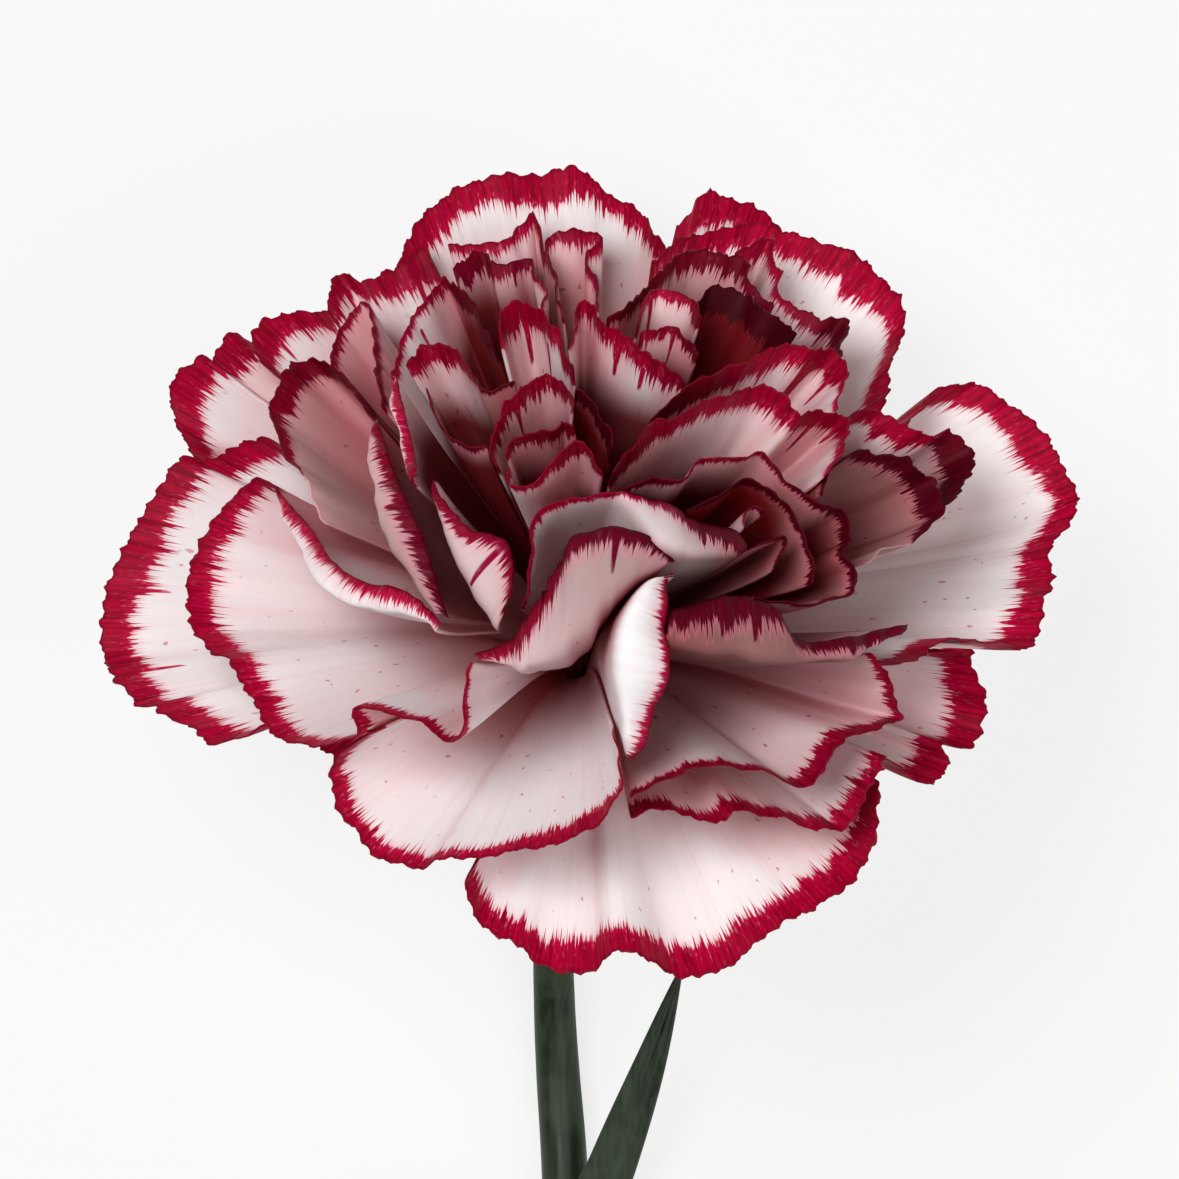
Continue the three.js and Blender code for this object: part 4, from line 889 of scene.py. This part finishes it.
def frill_tree():
    tree, source, sink = new_tree("Petal Frill", "GeometryNodeTree", [
        ("Geometry", "NodeSocketGeometry", None),
        ("Wave Height", "NodeSocketFloat", 0.00045),
        ("Wave Length", "NodeSocketFloat", WAVE_LENGTH),
        ("Crinkle Height", "NodeSocketFloat", 0.00022),
        ("Crinkle Length", "NodeSocketFloat", CRINKLE_LENGTH),
        ("Frill Depth", "NodeSocketFloat", FRILL_DEPTH),
        ("Seed", "NodeSocketFloat", 1.0),
        ("Material", "NodeSocketMaterial", None),
    ], [("Geometry", "NodeSocketGeometry")])

    def named(name, kind):
        node = tree.nodes.new("GeometryNodeInputNamedAttribute")
        node.data_type = kind
        node.inputs["Name"].default_value = name
        return node.outputs[0]

    edge, along, sheet = named("edge", "FLOAT"), named("along", "FLOAT"), named("sheet", "FLOAT_VECTOR")

    def wave(kind, power):
        """A swing across the sheet that runs along the rim and dies away from it."""
        height, length = source.outputs[f"{kind} Height"], source.outputs[f"{kind} Length"]
        drift = calc(tree, "MULTIPLY", edge, 0.03)
        where = join_xyz(tree, calc(tree, "DIVIDE", along, length), source.outputs["Seed"], drift)
        swing = calc(tree, "SUBTRACT", noise(tree, where, 1.0, 0.0), 0.5)
        depth = calc(tree, "DIVIDE", edge, source.outputs["Frill Depth"])
        fade = calc(tree, "EXPONENT", calc(tree, "MULTIPLY", depth, -power))
        full = calc(tree, "MULTIPLY", height, 4.0)
        return calc(tree, "MULTIPLY", calc(tree, "MULTIPLY", swing, fade), full)

    shift = calc(tree, "ADD", wave("Wave", 1.0), wave("Crinkle", 2.2))
    scale = tree.nodes.new("ShaderNodeVectorMath")
    scale.operation = "SCALE"
    link(tree, sheet, scale.inputs[0])
    link(tree, shift, scale.inputs["Scale"])
    move = tree.nodes.new("GeometryNodeSetPosition")
    link(tree, source.outputs["Geometry"], move.inputs["Geometry"])
    link(tree, scale.outputs[0], move.inputs["Offset"])
    end_with_material(tree, move.outputs[0], source, sink)
    return tree


def end_with_material(tree, result, source, sink):
    real = tree.nodes.new("GeometryNodeRealizeInstances")
    paint = tree.nodes.new("GeometryNodeSetMaterial")
    link(tree, result, real.inputs[0])
    link(tree, real.outputs[0], paint.inputs["Geometry"])
    link(tree, source.outputs["Material"], paint.inputs["Material"])
    link(tree, paint.outputs[0], sink.inputs["Geometry"])


def apply_tree(piece, tree, values):
    """Run a node tree on a piece and keep the result as its plain mesh."""
    modifier = piece.modifiers.new("shape", "NODES")
    modifier.node_group = tree
    sockets = {item.name: item.identifier for item in tree.interface.items_tree if item.in_out == "INPUT"}
    for label, value in values.items():
        modifier[sockets[label]] = value
    graph = bpy.context.evaluated_depsgraph_get()
    mesh = bpy.data.meshes.new_from_object(piece.evaluated_get(graph))
    piece.modifiers.remove(modifier)
    old = piece.data
    piece.data = mesh
    mesh.name = piece.name
    bpy.data.meshes.remove(old)


# ---------------------------------------------------------------- calyx, stem and leaves

def wrap_faces(rings, columns, joined):
    """Quads of a surface through closed rings of points, which end in caps or join up."""
    grid = np.arange(rings * columns).reshape(rings, columns)
    if joined:
        grid = np.vstack([grid, grid[:1]])
    ahead = np.roll(grid, -1, axis=1)
    quads = np.stack([grid[:-1], ahead[:-1], ahead[1:], grid[1:]], -1).reshape(-1, 4).tolist()
    return quads if joined else quads + [grid[0, ::-1].tolist(), grid[-1].tolist()]


def calyx_radius(height):
    profile = list(enumerate(CALYX_RADII))
    return smooth_line(profile, np.clip(height / CALYX_LENGTH, 0, 1))[..., 1]


def pointed_cup(name, foot, notch, tip, depth, points, clearance, wall, flare, ridge, joined):
    """A cup about the calyx's axis with a pointed rim and fine ridges along it."""
    outside, inside = CUP_RINGS
    angle = np.arange(CUP_COLUMNS) / CUP_COLUMNS * 2 * math.pi
    place = (angle / (2 * math.pi) * points) % 1
    rise = (1 - np.abs(place * 2 - 1)) ** 0.85
    top = notch + (tip - notch) * rise
    share = np.concatenate([np.linspace(0, 1, outside), np.linspace(1, 0, inside)])[:, None]
    inner = (np.arange(outside + inside) >= outside)[:, None]
    low = np.where(inner, depth, foot)
    height = low + (top - low) * share
    near_rim = np.exp(-(top - height) / 2.2)
    veins = np.cos(angle * RIDGES) * ridge * np.clip((height - foot) / 4, 0, 1)
    radius = calyx_radius(height) + clearance + flare * rise * near_rim
    radius = radius + np.where(inner, 0.0, veins + wall) - np.where(inner, 0.0, wall * 0.6 * near_rim)
    place = (
        MOUTH
        + AXIS * (height - CALYX_LENGTH - CALYX_BELOW)[..., None]
        + ACROSS * (radius * np.cos(angle))[..., None]
        + OVER * (radius * np.sin(angle))[..., None]
    )
    piece = add_mesh(name, (place.reshape(-1, 3) + SHIFT) * MM, wrap_faces(len(height), CUP_COLUMNS, joined))
    set_attribute(piece.data, "tip", "FLOAT", ((height - foot) / (tip - foot)).ravel())
    set_attribute(piece.data, "cut", "FLOAT", np.zeros(height.size))
    return piece


def stem_at(t):
    """Place, direction and radius of the stem at t from 0, under the calyx, to 1, at the cut."""
    place = smooth_line([point[:3] for point in STEM], t)
    ahead = smooth_line([point[:3] for point in STEM], np.minimum(t + 1e-4, 1))
    behind = smooth_line([point[:3] for point in STEM], np.maximum(t - 1e-4, 0))
    along = (ahead - behind) / np.linalg.norm(ahead - behind, axis=-1, keepdims=True)
    radius = smooth_line([(i, point[3]) for i, point in enumerate(STEM)], t)[..., 1]
    for joint in JOINTS:
        away = np.linalg.norm(place - STEM[joint][:3], axis=-1)
        radius = radius + JOINT_SWELL * np.exp(-((away / JOINT_HALF) ** 2) * 3)
    return place, along, radius


def make_stem(tree, material):
    # The last two rings stand close together, so that only the cut's own face is coloured as pith.
    t = np.concatenate([np.linspace(0, 1, STEM_RINGS), [1.0]])
    t[-2] = 0.9992
    place, along, radius = stem_at(t)
    middle = (place + SHIFT) * MM
    piece = add_mesh("stem_piece", middle, [])
    piece.data.edges.add(len(t) - 1)
    ends = np.arange(len(t) - 1)
    piece.data.edges.foreach_set("vertices", np.stack([ends, ends + 1], 1).ravel())
    set_attribute(piece.data, "radius", "FLOAT", radius * MM)
    set_attribute(piece.data, "cut", "FLOAT", (t > 0.9999).astype(float))
    set_attribute(piece.data, "tip", "FLOAT", np.clip((radius - 2.25) / JOINT_SWELL, 0, 1))
    apply_tree(piece, tree, {"Sides": STEM_SIDES, "Material": material})
    points = np.empty(len(piece.data.vertices) * 3)
    piece.data.vertices.foreach_get("co", points)
    points = points.reshape(-1, 3)
    # The last ring and its cap slope from the stem's upper side to its lower one.
    beyond = (points - middle[-1]) @ along[-1] > -0.02 * MM
    above = points[:, 2] - middle[-1][2]
    points[beyond] -= along[-1] * (CUT_SLOPE * above[beyond])[:, None]
    piece.data.vertices.foreach_set("co", points.ravel())
    return piece


def sweep_tree():
    tree, source, sink = new_tree("Stem Sweep", "GeometryNodeTree", [
        ("Geometry", "NodeSocketGeometry", None),
        ("Sides", "NodeSocketInt", 40),
        ("Material", "NodeSocketMaterial", None),
    ], [("Geometry", "NodeSocketGeometry")])
    radius = tree.nodes.new("GeometryNodeInputNamedAttribute")
    radius.data_type = "FLOAT"
    radius.inputs["Name"].default_value = "radius"
    curve = tree.nodes.new("GeometryNodeMeshToCurve")
    circle = tree.nodes.new("GeometryNodeCurvePrimitiveCircle")
    circle.inputs["Radius"].default_value = 1.0
    sweep = tree.nodes.new("GeometryNodeCurveToMesh")
    sweep.inputs["Fill Caps"].default_value = True
    link(tree, source.outputs["Geometry"], curve.inputs[0])
    link(tree, source.outputs["Sides"], circle.inputs["Resolution"])
    link(tree, curve.outputs[0], sweep.inputs["Curve"])
    link(tree, circle.outputs[0], sweep.inputs["Profile Curve"])
    link(tree, radius.outputs[0], sweep.inputs["Scale"])
    end_with_material(tree, sweep.outputs[0], source, sink)
    return tree


def make_leaf(name, joint, side, half, line):
    """A narrow keeled leaf with a sheath at its foot that hugs the stem."""
    t = np.array(joint / (len(STEM) - 1))
    at, along, radius = stem_at(t)
    sideways = unit(np.cross((0, 0, 1), along))
    up = np.cross(along, sideways)
    right = sideways if sideways[0] > 0 else -sideways
    outward = right * math.cos(math.radians(side)) + up * math.sin(math.radians(side))
    wrap = radius + SHEATH_GAP + LEAF_THICKNESS / 2
    foot = at + outward * wrap
    path = [foot, foot - along * SHEATH_LENGTH] + [np.array(point, float) for point in line]
    fine = smooth_line(path, np.linspace(0, 1, 900))
    length = np.concatenate([[0], np.cumsum(np.linalg.norm(np.diff(fine, axis=0), axis=1))])
    v = np.linspace(0, 1, LEAF_RINGS) ** 1.2
    middle = np.stack([np.interp(v * length[-1], length, fine[:, k]) for k in range(3)], 1)
    forward = np.gradient(middle, axis=0)
    forward /= np.linalg.norm(forward, axis=1, keepdims=True)
    twist = np.clip((v - 0.1) / 0.25, 0, 1)[:, None] * 0.75
    facing = outward * (1 - twist) + np.array([0, 0, 1.0]) * twist
    away = facing - forward * np.sum(forward * facing, axis=1)[:, None]
    away /= np.linalg.norm(away, axis=1, keepdims=True)
    lateral = np.cross(forward, away)
    sheath = np.maximum(0, 1 - v / SHEATH_SHARE) ** 1.5
    blade = half * np.minimum(1, 0.75 + v * 0.8) * (1 - v ** 2.6) + 0.12
    fold = BLADE_FOLD + (SHEATH_WRAP - BLADE_FOLD) * sheath
    width = blade + (wrap * SHEATH_WRAP - blade) * sheath
    bend = (width / fold)[:, None]
    u = np.linspace(-1, 1, LEAF_COLUMNS)
    turn = u * fold[:, None]
    keel = KEEL * np.exp(-((u / 0.16) ** 2)) * (1 - sheath[:, None])
    # Towards its thin margins the sheath closes in, so that its inner face stays on the stem.
    thick = LEAF_THICKNESS * (0.3 + 0.7 * (1 - u ** 2)) * np.ones((len(v), 1))
    reach = bend - sheath[:, None] * (LEAF_THICKNESS - thick) / 2
    rows = (
        middle[:, None]
        + lateral[:, None] * (reach * np.sin(turn))[..., None]
        - away[:, None] * (bend - reach * np.cos(turn) + keel)[..., None]
    )
    normal = grid_normals(rows)
    piece = add_mesh(f"{name}_piece", thicken(rows, normal, thick), sheet_faces(len(v), len(u)).tolist())
    set_attribute(piece.data, "tip", "FLOAT", np.tile((np.abs(u) ** 6 * np.ones((len(v), 1))).ravel(), 2))
    set_attribute(piece.data, "cut", "FLOAT", np.zeros(rows.size // 3 * 2))
    return piece


# ---------------------------------------------------------------- materials

def petal_colour_group(petal_pale, petal_pink, margin_dark, margin_bright):
    """The petals' colours with painted shade in their hollows and on shaded petals, their crimson marks as a
    mask, and the relief of their ribs.
    """
    tree, source, sink = new_tree("Petal Colour", "ShaderNodeTree", [
        ("Edge", "NodeSocketFloat", 0.0),
        ("Along", "NodeSocketFloat", 0.0),
        ("Petal", "NodeSocketFloat", 0.0),
        ("Band", "NodeSocketFloat", 1.8),
        ("Tint", "NodeSocketFloat", 0.2),
        ("Hollow", "NodeSocketFloat", 99.0),
        ("Shade", "NodeSocketFloat", 0.0),
        ("Streak", "NodeSocketFloat", 0.0),
    ], [("Color", "NodeSocketColor"), ("Height", "NodeSocketFloat"), ("Mark", "NodeSocketFloat")])
    edge, along, petal, band_width, tint, hollow, shade, streak = (
        source.outputs[k] for k in ("Edge", "Along", "Petal", "Band", "Tint", "Hollow", "Shade", "Streak")
    )

    def add(x, y):
        return calc(tree, "ADD", x, y)

    def take(x, y):
        return calc(tree, "SUBTRACT", x, y)

    def times(x, y):
        return calc(tree, "MULTIPLY", x, y)

    def step(value, low, high, start=0.0, end=1.0):
        return ease(tree, value, low, high, start, end)

    def mix(factor, x, y):
        return blend_colour(tree, factor, x, srgb(y) if isinstance(y, str) else y)

    def field(across, down, detail, shift):
        """Noise with its own scale along the rim and in from it."""
        where = join_xyz(tree, times(along, across), times(edge, down), add(times(petal, 7.0), shift))
        return noise(tree, where, 1.0, detail)

    def needles(frequency, width, shift):
        """Thin lines that run in from the rim, 1 in their middle."""
        off = calc(tree, "ABSOLUTE", take(field(frequency, 0.05, 0.0, shift), 0.5))
        return calc(tree, "SUBTRACT", 1.0, calc(tree, "DIVIDE", off, width), clamp=True)

    # The crimson margin: a band of uneven width with thin needles that run in along the ribs.
    flames = add(
        times(take(field(0.8, 0.04, 1.0, 11.0), 0.5), 1.3),
        times(take(field(5.0, 0.12, 2.0, 13.0), 0.5), 1.8),
    )
    flames = add(flames, times(needles(1.5, 0.06, 17.0), 0.9))
    flames = add(flames, times(needles(5.0, 0.08, 19.0), 0.6))
    uneven = add(1.0, times(take(field(0.16, 0.0, 1.0, 3.0), 0.5), 0.8))
    sway = step(band_width, 0.0, 1.6, 0.1, 1.0)
    reach = add(take(times(band_width, uneven), 0.15), times(flames, sway))
    inside = take(reach, edge)
    band = step(inside, -0.10, 0.18)
    # Streaks, some of them painted shade lines, and small flecks further in.
    fleck = times(step(field(1.7, 1.2, 0.0, 41.0), 0.79, 0.83), step(edge, 3.0, 5.0))
    inner_mark = calc(tree, "MAXIMUM", step(streak, 0.25, 0.6), times(fleck, 0.6))
    mark = calc(tree, "MAXIMUM", band, inner_mark)
    # Pale ground, duller and pinker further in from the rim, partly as painted shade deep in the bloom,
    # green-white at the claw, with faint ribs.
    near = mix(tint, petal_pale, "deb8ba")
    far = mix(tint, srgb("e2dbdc"), petal_pink)
    ground = mix(step(edge, 2.0, 16.0), near, far)
    ground = mix(step(edge, 23.0, 30.0), ground, "f0e6cf")
    ribs = field(1.3, 0.02, 3.0, 53.0)
    ground = mix(times(step(ribs, 0.42, 0.75), 0.14), ground, "d9aab0")
    # Painted shade: the ground turns dull brown as far as the petal's shade says.
    ground = mix(shade, ground, "6e3330")
    # Crimson soaks a little way into the ground round the margin.
    halo = times(step(inside, -0.9, 0.0), 0.3)
    ground = mix(halo, ground, "e07a94")
    # Painted shade: the ground darkens to deep crimson in from where the petal stands in a hollow.
    hollow_shade = step(take(edge, hollow), 0.0, 4.5)
    ground = mix(times(hollow_shade, 0.96), ground, "6a0d17")
    # The crimson itself: streaky, brighter at its inner end, with pale specks and a dark outer edge.
    red = mix(step(field(3.2, 0.15, 3.0, 61.0), 0.3, 0.7), margin_dark, margin_bright)
    red = mix(step(inside, 0.0, 1.2, 0.55, 0.0), red, "cc1350")
    speckled = step(field(4.5, 1.3, 1.0, 91.0), 0.58, 0.74)
    red = mix(times(speckled, step(inside, 0.0, 1.4, 0.5, 0.06)), red, "e98fa8")
    red = mix(step(edge, 0.0, 0.5, 0.5, 0.0), red, "6a0018")
    # Painted shade: the crimson darkens on the pinker inner petals, in hollows and on shaded petals.
    red = mix(step(tint, 0.1, 1.0, 0.0, 0.3), red, "4a0012")
    red = mix(times(hollow_shade, 0.8), red, "3a000c")
    red = mix(step(shade, -0.3, 0.75, -0.15, 0.85), red, "3a000d")
    link(tree, mix(mark, ground, red), sink.inputs["Color"])
    ribbed = times(field(1.2, 0.03, 3.0, 71.0), 0.8)
    grained = times(field(4.0, 1.0, 2.0, 83.0), 0.2)
    link(tree, add(ribbed, grained), sink.inputs["Height"])
    link(tree, mark, sink.inputs["Mark"])
    return tree


# Each green's deeper lines, the colour at its tips or joints, and how much wax it carries.
GREENS = {
    "calyx": ("6f8f58", "a3a078", 0.3),
    "bracts": ("7b9660", "b3a67c", 0.3),
    "stem": ("121d11", "33443a", 0.1),
    "leaf": ("131f14", "3f4f43", 0.1),
}
LINE_SCALE = (2600, 130, 2600)  # the greens' fine lines run along the flower


def principled(name):
    material = bpy.data.materials.new(name)
    material.use_nodes = True
    tree = material.node_tree
    return material, tree, tree.nodes["Principled BSDF"]


def bump(tree, height, strength, distance, shader):
    node = tree.nodes.new("ShaderNodeBump")
    node.inputs["Strength"].default_value = strength
    node.inputs["Distance"].default_value = distance
    link(tree, height, node.inputs["Height"])
    link(tree, node.outputs[0], shader.inputs["Normal"])


def petal_material(*colours):
    material, tree, shader = principled("petal")
    group = tree.nodes.new("ShaderNodeGroup")
    group.node_tree = petal_colour_group(*colours)
    for socket in group.inputs:
        link(tree, attribute(tree, socket.name.lower()), socket)
    # Painted shade: where ambient occlusion finds a crevice, the base colour is darkened and reddened,
    # standing in for the light that reaches it through other petals and comes out red.
    open_to_air = tree.nodes.new("ShaderNodeAmbientOcclusion")
    open_to_air.samples = 1
    open_to_air.inputs["Distance"].default_value = 0.006
    crevice_shade = ease(tree, open_to_air.outputs["AO"], 0.1, 0.8, 1.0, 0.0)
    mark = group.outputs["Mark"]
    crevice_shade_colour = blend_colour(tree, mark, (0.75, 0.25, 0.3, 1.0), (0.36, 0.15, 0.2, 1.0))
    colour = blend_colour(tree, crevice_shade, group.outputs["Color"], crevice_shade_colour, "MULTIPLY")
    link(tree, colour, shader.inputs["Base Color"])
    link(tree, ease(tree, mark, 0.0, 1.0, 0.60, 0.50), shader.inputs["Roughness"])
    shader.inputs["Specular IOR Level"].default_value = 0.06
    shader.subsurface_method = "BURLEY"
    shader.inputs["Subsurface Weight"].default_value = 0.2
    shader.inputs["Subsurface Radius"].default_value = (1.0, 0.35, 0.3)
    shader.inputs["Subsurface Scale"].default_value = 0.0008
    bump(tree, group.outputs["Height"], 0.25, 0.0002, shader)
    return material


def green_material(name, pale):
    """Waxy green with fine lines along it, another colour at a tip or joint, and pale pith at the cut."""
    deep, tip, wax = GREENS[name]
    material, tree, shader = principled(name)
    coords = tree.nodes.new("ShaderNodeTexCoord")
    stretch = tree.nodes.new("ShaderNodeMapping")
    stretch.inputs["Scale"].default_value = LINE_SCALE
    link(tree, coords.outputs["Object"], stretch.inputs["Vector"])
    lines = noise(tree, stretch.outputs[0], 1.0, 3.0)
    bloom = noise(tree, coords.outputs["Object"], 220.0, 3.0)
    colour = blend_colour(tree, ease(tree, lines, 0.3, 0.7), srgb(deep), pale)
    waxed = calc(tree, "MULTIPLY", ease(tree, bloom, 0.42, 0.7), wax)
    colour = blend_colour(tree, waxed, colour, srgb("748a6c"))
    tipped = ease(tree, attribute(tree, "tip"), 0.4, 1.0, 0.0, 0.6)
    colour = blend_colour(tree, tipped, colour, srgb(tip))
    colour = blend_colour(tree, attribute(tree, "cut"), colour, srgb("b9bf8f"))
    link(tree, colour, shader.inputs["Base Color"])
    link(tree, ease(tree, bloom, 0.3, 0.8, 0.38, 0.6), shader.inputs["Roughness"])
    shader.inputs["Specular IOR Level"].default_value = 0.25
    shader.inputs["Subsurface Weight"].default_value = 0.15
    shader.inputs["Subsurface Radius"].default_value = (0.5, 1.0, 0.3)
    shader.inputs["Subsurface Scale"].default_value = 0.0006
    bump(tree, lines, 0.3, 0.0001, shader)
    return material


# ---------------------------------------------------------------- settings and operators

def length_setting(name, description, default):
    return FloatProperty(
        name=name, description=description, default=default, min=0, precision=5, unit="LENGTH",
    )


def colour_setting(name, description, hex_code):
    return FloatVectorProperty(
        name=name, description=description, default=srgb(hex_code), size=4, min=0, max=1, subtype="COLOR",
    )


class CarnationSettings(bpy.types.PropertyGroup):
    petal_thickness: length_setting("Petal Thickness", "Thickness of a petal's blade", 0.00026)
    column_spacing: length_setting("Column Spacing", "Spacing of the mesh columns along a rim", 0.00026)
    tooth_depth: length_setting("Tooth Depth", "Depth of the teeth along a rim", 0.00042)
    wave_height: length_setting("Wave Height", "Height of the frill's waves", 0.00045)
    crinkle_height: length_setting("Crinkle Height", "Height of the finer crinkle", 0.00022)
    calyx_wall: length_setting("Calyx Wall", "Thickness of the calyx's tube", 0.0006)
    petal_pale: colour_setting("Petal Pale", "Ground of a petal near its rim", "ebecec")
    # Painted shade in part: the pinkest ground is given to the inner petals that stand in shade.
    petal_pink: colour_setting("Petal Pink", "Ground deep in the pinkest petals", "cb9698")
    margin_dark: colour_setting("Margin Dark", "Darker streaks of the crimson margin", "7c001c")
    margin_bright: colour_setting("Margin Bright", "Brighter streaks of the crimson margin", "b00037")
    calyx_green: colour_setting("Calyx Green", "Paler green of the calyx", "8aa76c")
    bract_green: colour_setting("Bract Green", "Paler green of the bracts", "93ac76")
    stem_green: colour_setting("Stem Green", "Paler green of the stem", "243321")
    leaf_green: colour_setting("Leaf Green", "Paler green of the leaves", "253323")


def settings():
    return bpy.context.scene.carnation


def chosen(colour_name):
    return tuple(getattr(settings(), colour_name))


class CARNATION_OT_petals(bpy.types.Operator):
    """Build every petal of the bloom"""
    bl_idname = "carnation.petals"
    bl_label = "Build Petals"

    def execute(self, context):
        material = petal_material(*map(chosen, ("petal_pale", "petal_pink", "margin_dark", "margin_bright")))
        tree = frill_tree()
        for seed, (name, rim) in enumerate(PETALS.items(), 1):
            piece = make_petal(name, rim, settings(), seed)
            apply_tree(piece, tree, {
                "Wave Height": settings().wave_height,
                "Wave Length": WAVE_LENGTH,
                "Crinkle Height": settings().crinkle_height,
                "Crinkle Length": CRINKLE_LENGTH,
                "Frill Depth": FRILL_DEPTH,
                "Seed": float(seed) * 3.7,
                "Material": material,
            })
            finish_piece(piece, f"petal_{name}")
        return {"FINISHED"}


def finish_piece(piece, node):
    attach(piece, "root")
    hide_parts(node)


class CARNATION_OT_calyx(bpy.types.Operator):
    """Build the ribbed calyx and the scales round its foot"""
    bl_idname = "carnation.calyx"
    bl_label = "Build Calyx"

    def execute(self, context):
        wall = settings().calyx_wall / MM
        calyx = pointed_cup(
            "calyx_piece", 0, CALYX_LENGTH - TOOTH_LENGTH, CALYX_LENGTH, CALYX_LENGTH - CALYX_CUP,
            CALYX_TEETH, -wall, wall, TOOTH_FLARE, CALYX_RIDGE, False,
        )
        calyx.data.materials.append(green_material("calyx", chosen("calyx_green")))
        finish_piece(calyx, "calyx")
        bracts = pointed_cup(
            "bracts_piece", BRACT_FOOT, *BRACT_TOPS, BRACT_FOOT,
            BRACTS, GAP, BRACT_THICKNESS, BRACT_FLARE, BRACT_RIDGE, True,
        )
        bracts.data.materials.append(green_material("bracts", chosen("bract_green")))
        finish_piece(bracts, "bracts")
        return {"FINISHED"}


class CARNATION_OT_stem(bpy.types.Operator):
    """Build the jointed stem"""
    bl_idname = "carnation.stem"
    bl_label = "Build Stem"

    def execute(self, context):
        material = green_material("stem", chosen("stem_green"))
        finish_piece(make_stem(sweep_tree(), material), "stem")
        return {"FINISHED"}


class CARNATION_OT_leaves(bpy.types.Operator):
    """Build the four narrow leaves"""
    bl_idname = "carnation.leaves"
    bl_label = "Build Leaves"

    def execute(self, context):
        material = green_material("leaf", chosen("leaf_green"))
        for name, leaf in LEAVES.items():
            piece = make_leaf(f"leaf_{name}", *leaf)
            piece.data.materials.append(material)
            finish_piece(piece, f"leaf_{name}")
        return {"FINISHED"}


def floor_material():
    """Matt white that glows a little, so that the shadows on it stay faint."""
    material, tree, shader = principled("floor")
    shader.inputs["Base Color"].default_value = (0.15, 0.15, 0.15, 1)
    shader.inputs["Roughness"].default_value = 1.0
    shader.inputs["Specular IOR Level"].default_value = 0.0
    shader.inputs["Emission Color"].default_value = (1, 1, 1, 1)
    shader.inputs["Emission Strength"].default_value = 0.79
    return material


def add_lamp(name, mouth, offset, size, power):
    data = bpy.data.lights.new(name, "AREA")
    data.shape = "DISK"
    data.size = size
    data.energy = power
    lamp = bpy.data.objects.new(name, data)
    lamp.location = mouth + Vector(offset)
    lamp.rotation_euler = (mouth - lamp.location).to_track_quat("-Z", "Y").to_euler()
    bpy.context.scene.collection.objects.link(lamp)


def add_camera(target):
    data = bpy.data.cameras.new("camera")
    data.sensor_width = SENSOR
    data.sensor_fit = "HORIZONTAL"
    data.lens = SENSOR * CAMERA_HEIGHT / (FRAME_WIDTH * MM)
    data.clip_end = 10
    camera = bpy.data.objects.new("camera", data)
    camera.location = target + Vector((0, 0, CAMERA_HEIGHT))
    bpy.context.scene.collection.objects.link(camera)
    return camera


class CARNATION_OT_stage(bpy.types.Operator):
    """Add the floor, the lights and the camera"""
    bl_idname = "carnation.stage"
    bl_label = "Build Stage"

    def execute(self, context):
        corners = [(x * FLOOR_HALF, y * FLOOR_HALF, 0) for x, y in ((-1, -1), (1, -1), (1, 1), (-1, 1))]
        floor = add_mesh("floor", corners, [(0, 1, 2, 3)])
        floor.data.materials.append(floor_material())
        mouth = Vector((MOUTH + SHIFT) * MM)
        for name, (offset, size, power) in LAMPS.items():
            add_lamp(name, mouth, offset, size, power)
        world = bpy.data.worlds.new("world")
        world.use_nodes = True
        background = world.node_tree.nodes["Background"]
        background.inputs["Color"].default_value = SKY
        background.inputs["Strength"].default_value = SKY_STRENGTH
        context.scene.world = world
        context.scene.camera = add_camera(mouth + Vector(LOOK_AT) * MM)
        context.scene.view_settings.view_transform = "Standard"
        return {"FINISHED"}


class CARNATION_PT_panel(bpy.types.Panel):
    bl_label = "Carnation"
    bl_idname = "CARNATION_PT_panel"
    bl_space_type = "VIEW_3D"
    bl_region_type = "UI"
    bl_category = "Carnation"

    def draw(self, context):
        for name in CarnationSettings.__annotations__:
            self.layout.prop(context.scene.carnation, name)
        for step in STEPS:
            self.layout.operator(step.bl_idname)


STEPS = (
    CARNATION_OT_petals,
    CARNATION_OT_calyx,
    CARNATION_OT_stem,
    CARNATION_OT_leaves,
    CARNATION_OT_stage,
)
CLASSES = (CarnationSettings, *STEPS, CARNATION_PT_panel)


def register():
    for item in CLASSES:
        bpy.utils.register_class(item)
    bpy.types.Scene.carnation = PointerProperty(type=CarnationSettings)


def unregister():
    del bpy.types.Scene.carnation
    for item in reversed(CLASSES):
        bpy.utils.unregister_class(item)


def main():
    register()
    bpy.ops.carnation.petals()
    bpy.ops.carnation.calyx()
    bpy.ops.carnation.stem()
    bpy.ops.carnation.leaves()
    bpy.ops.carnation.stage()


if __name__ == "__main__":
    main()
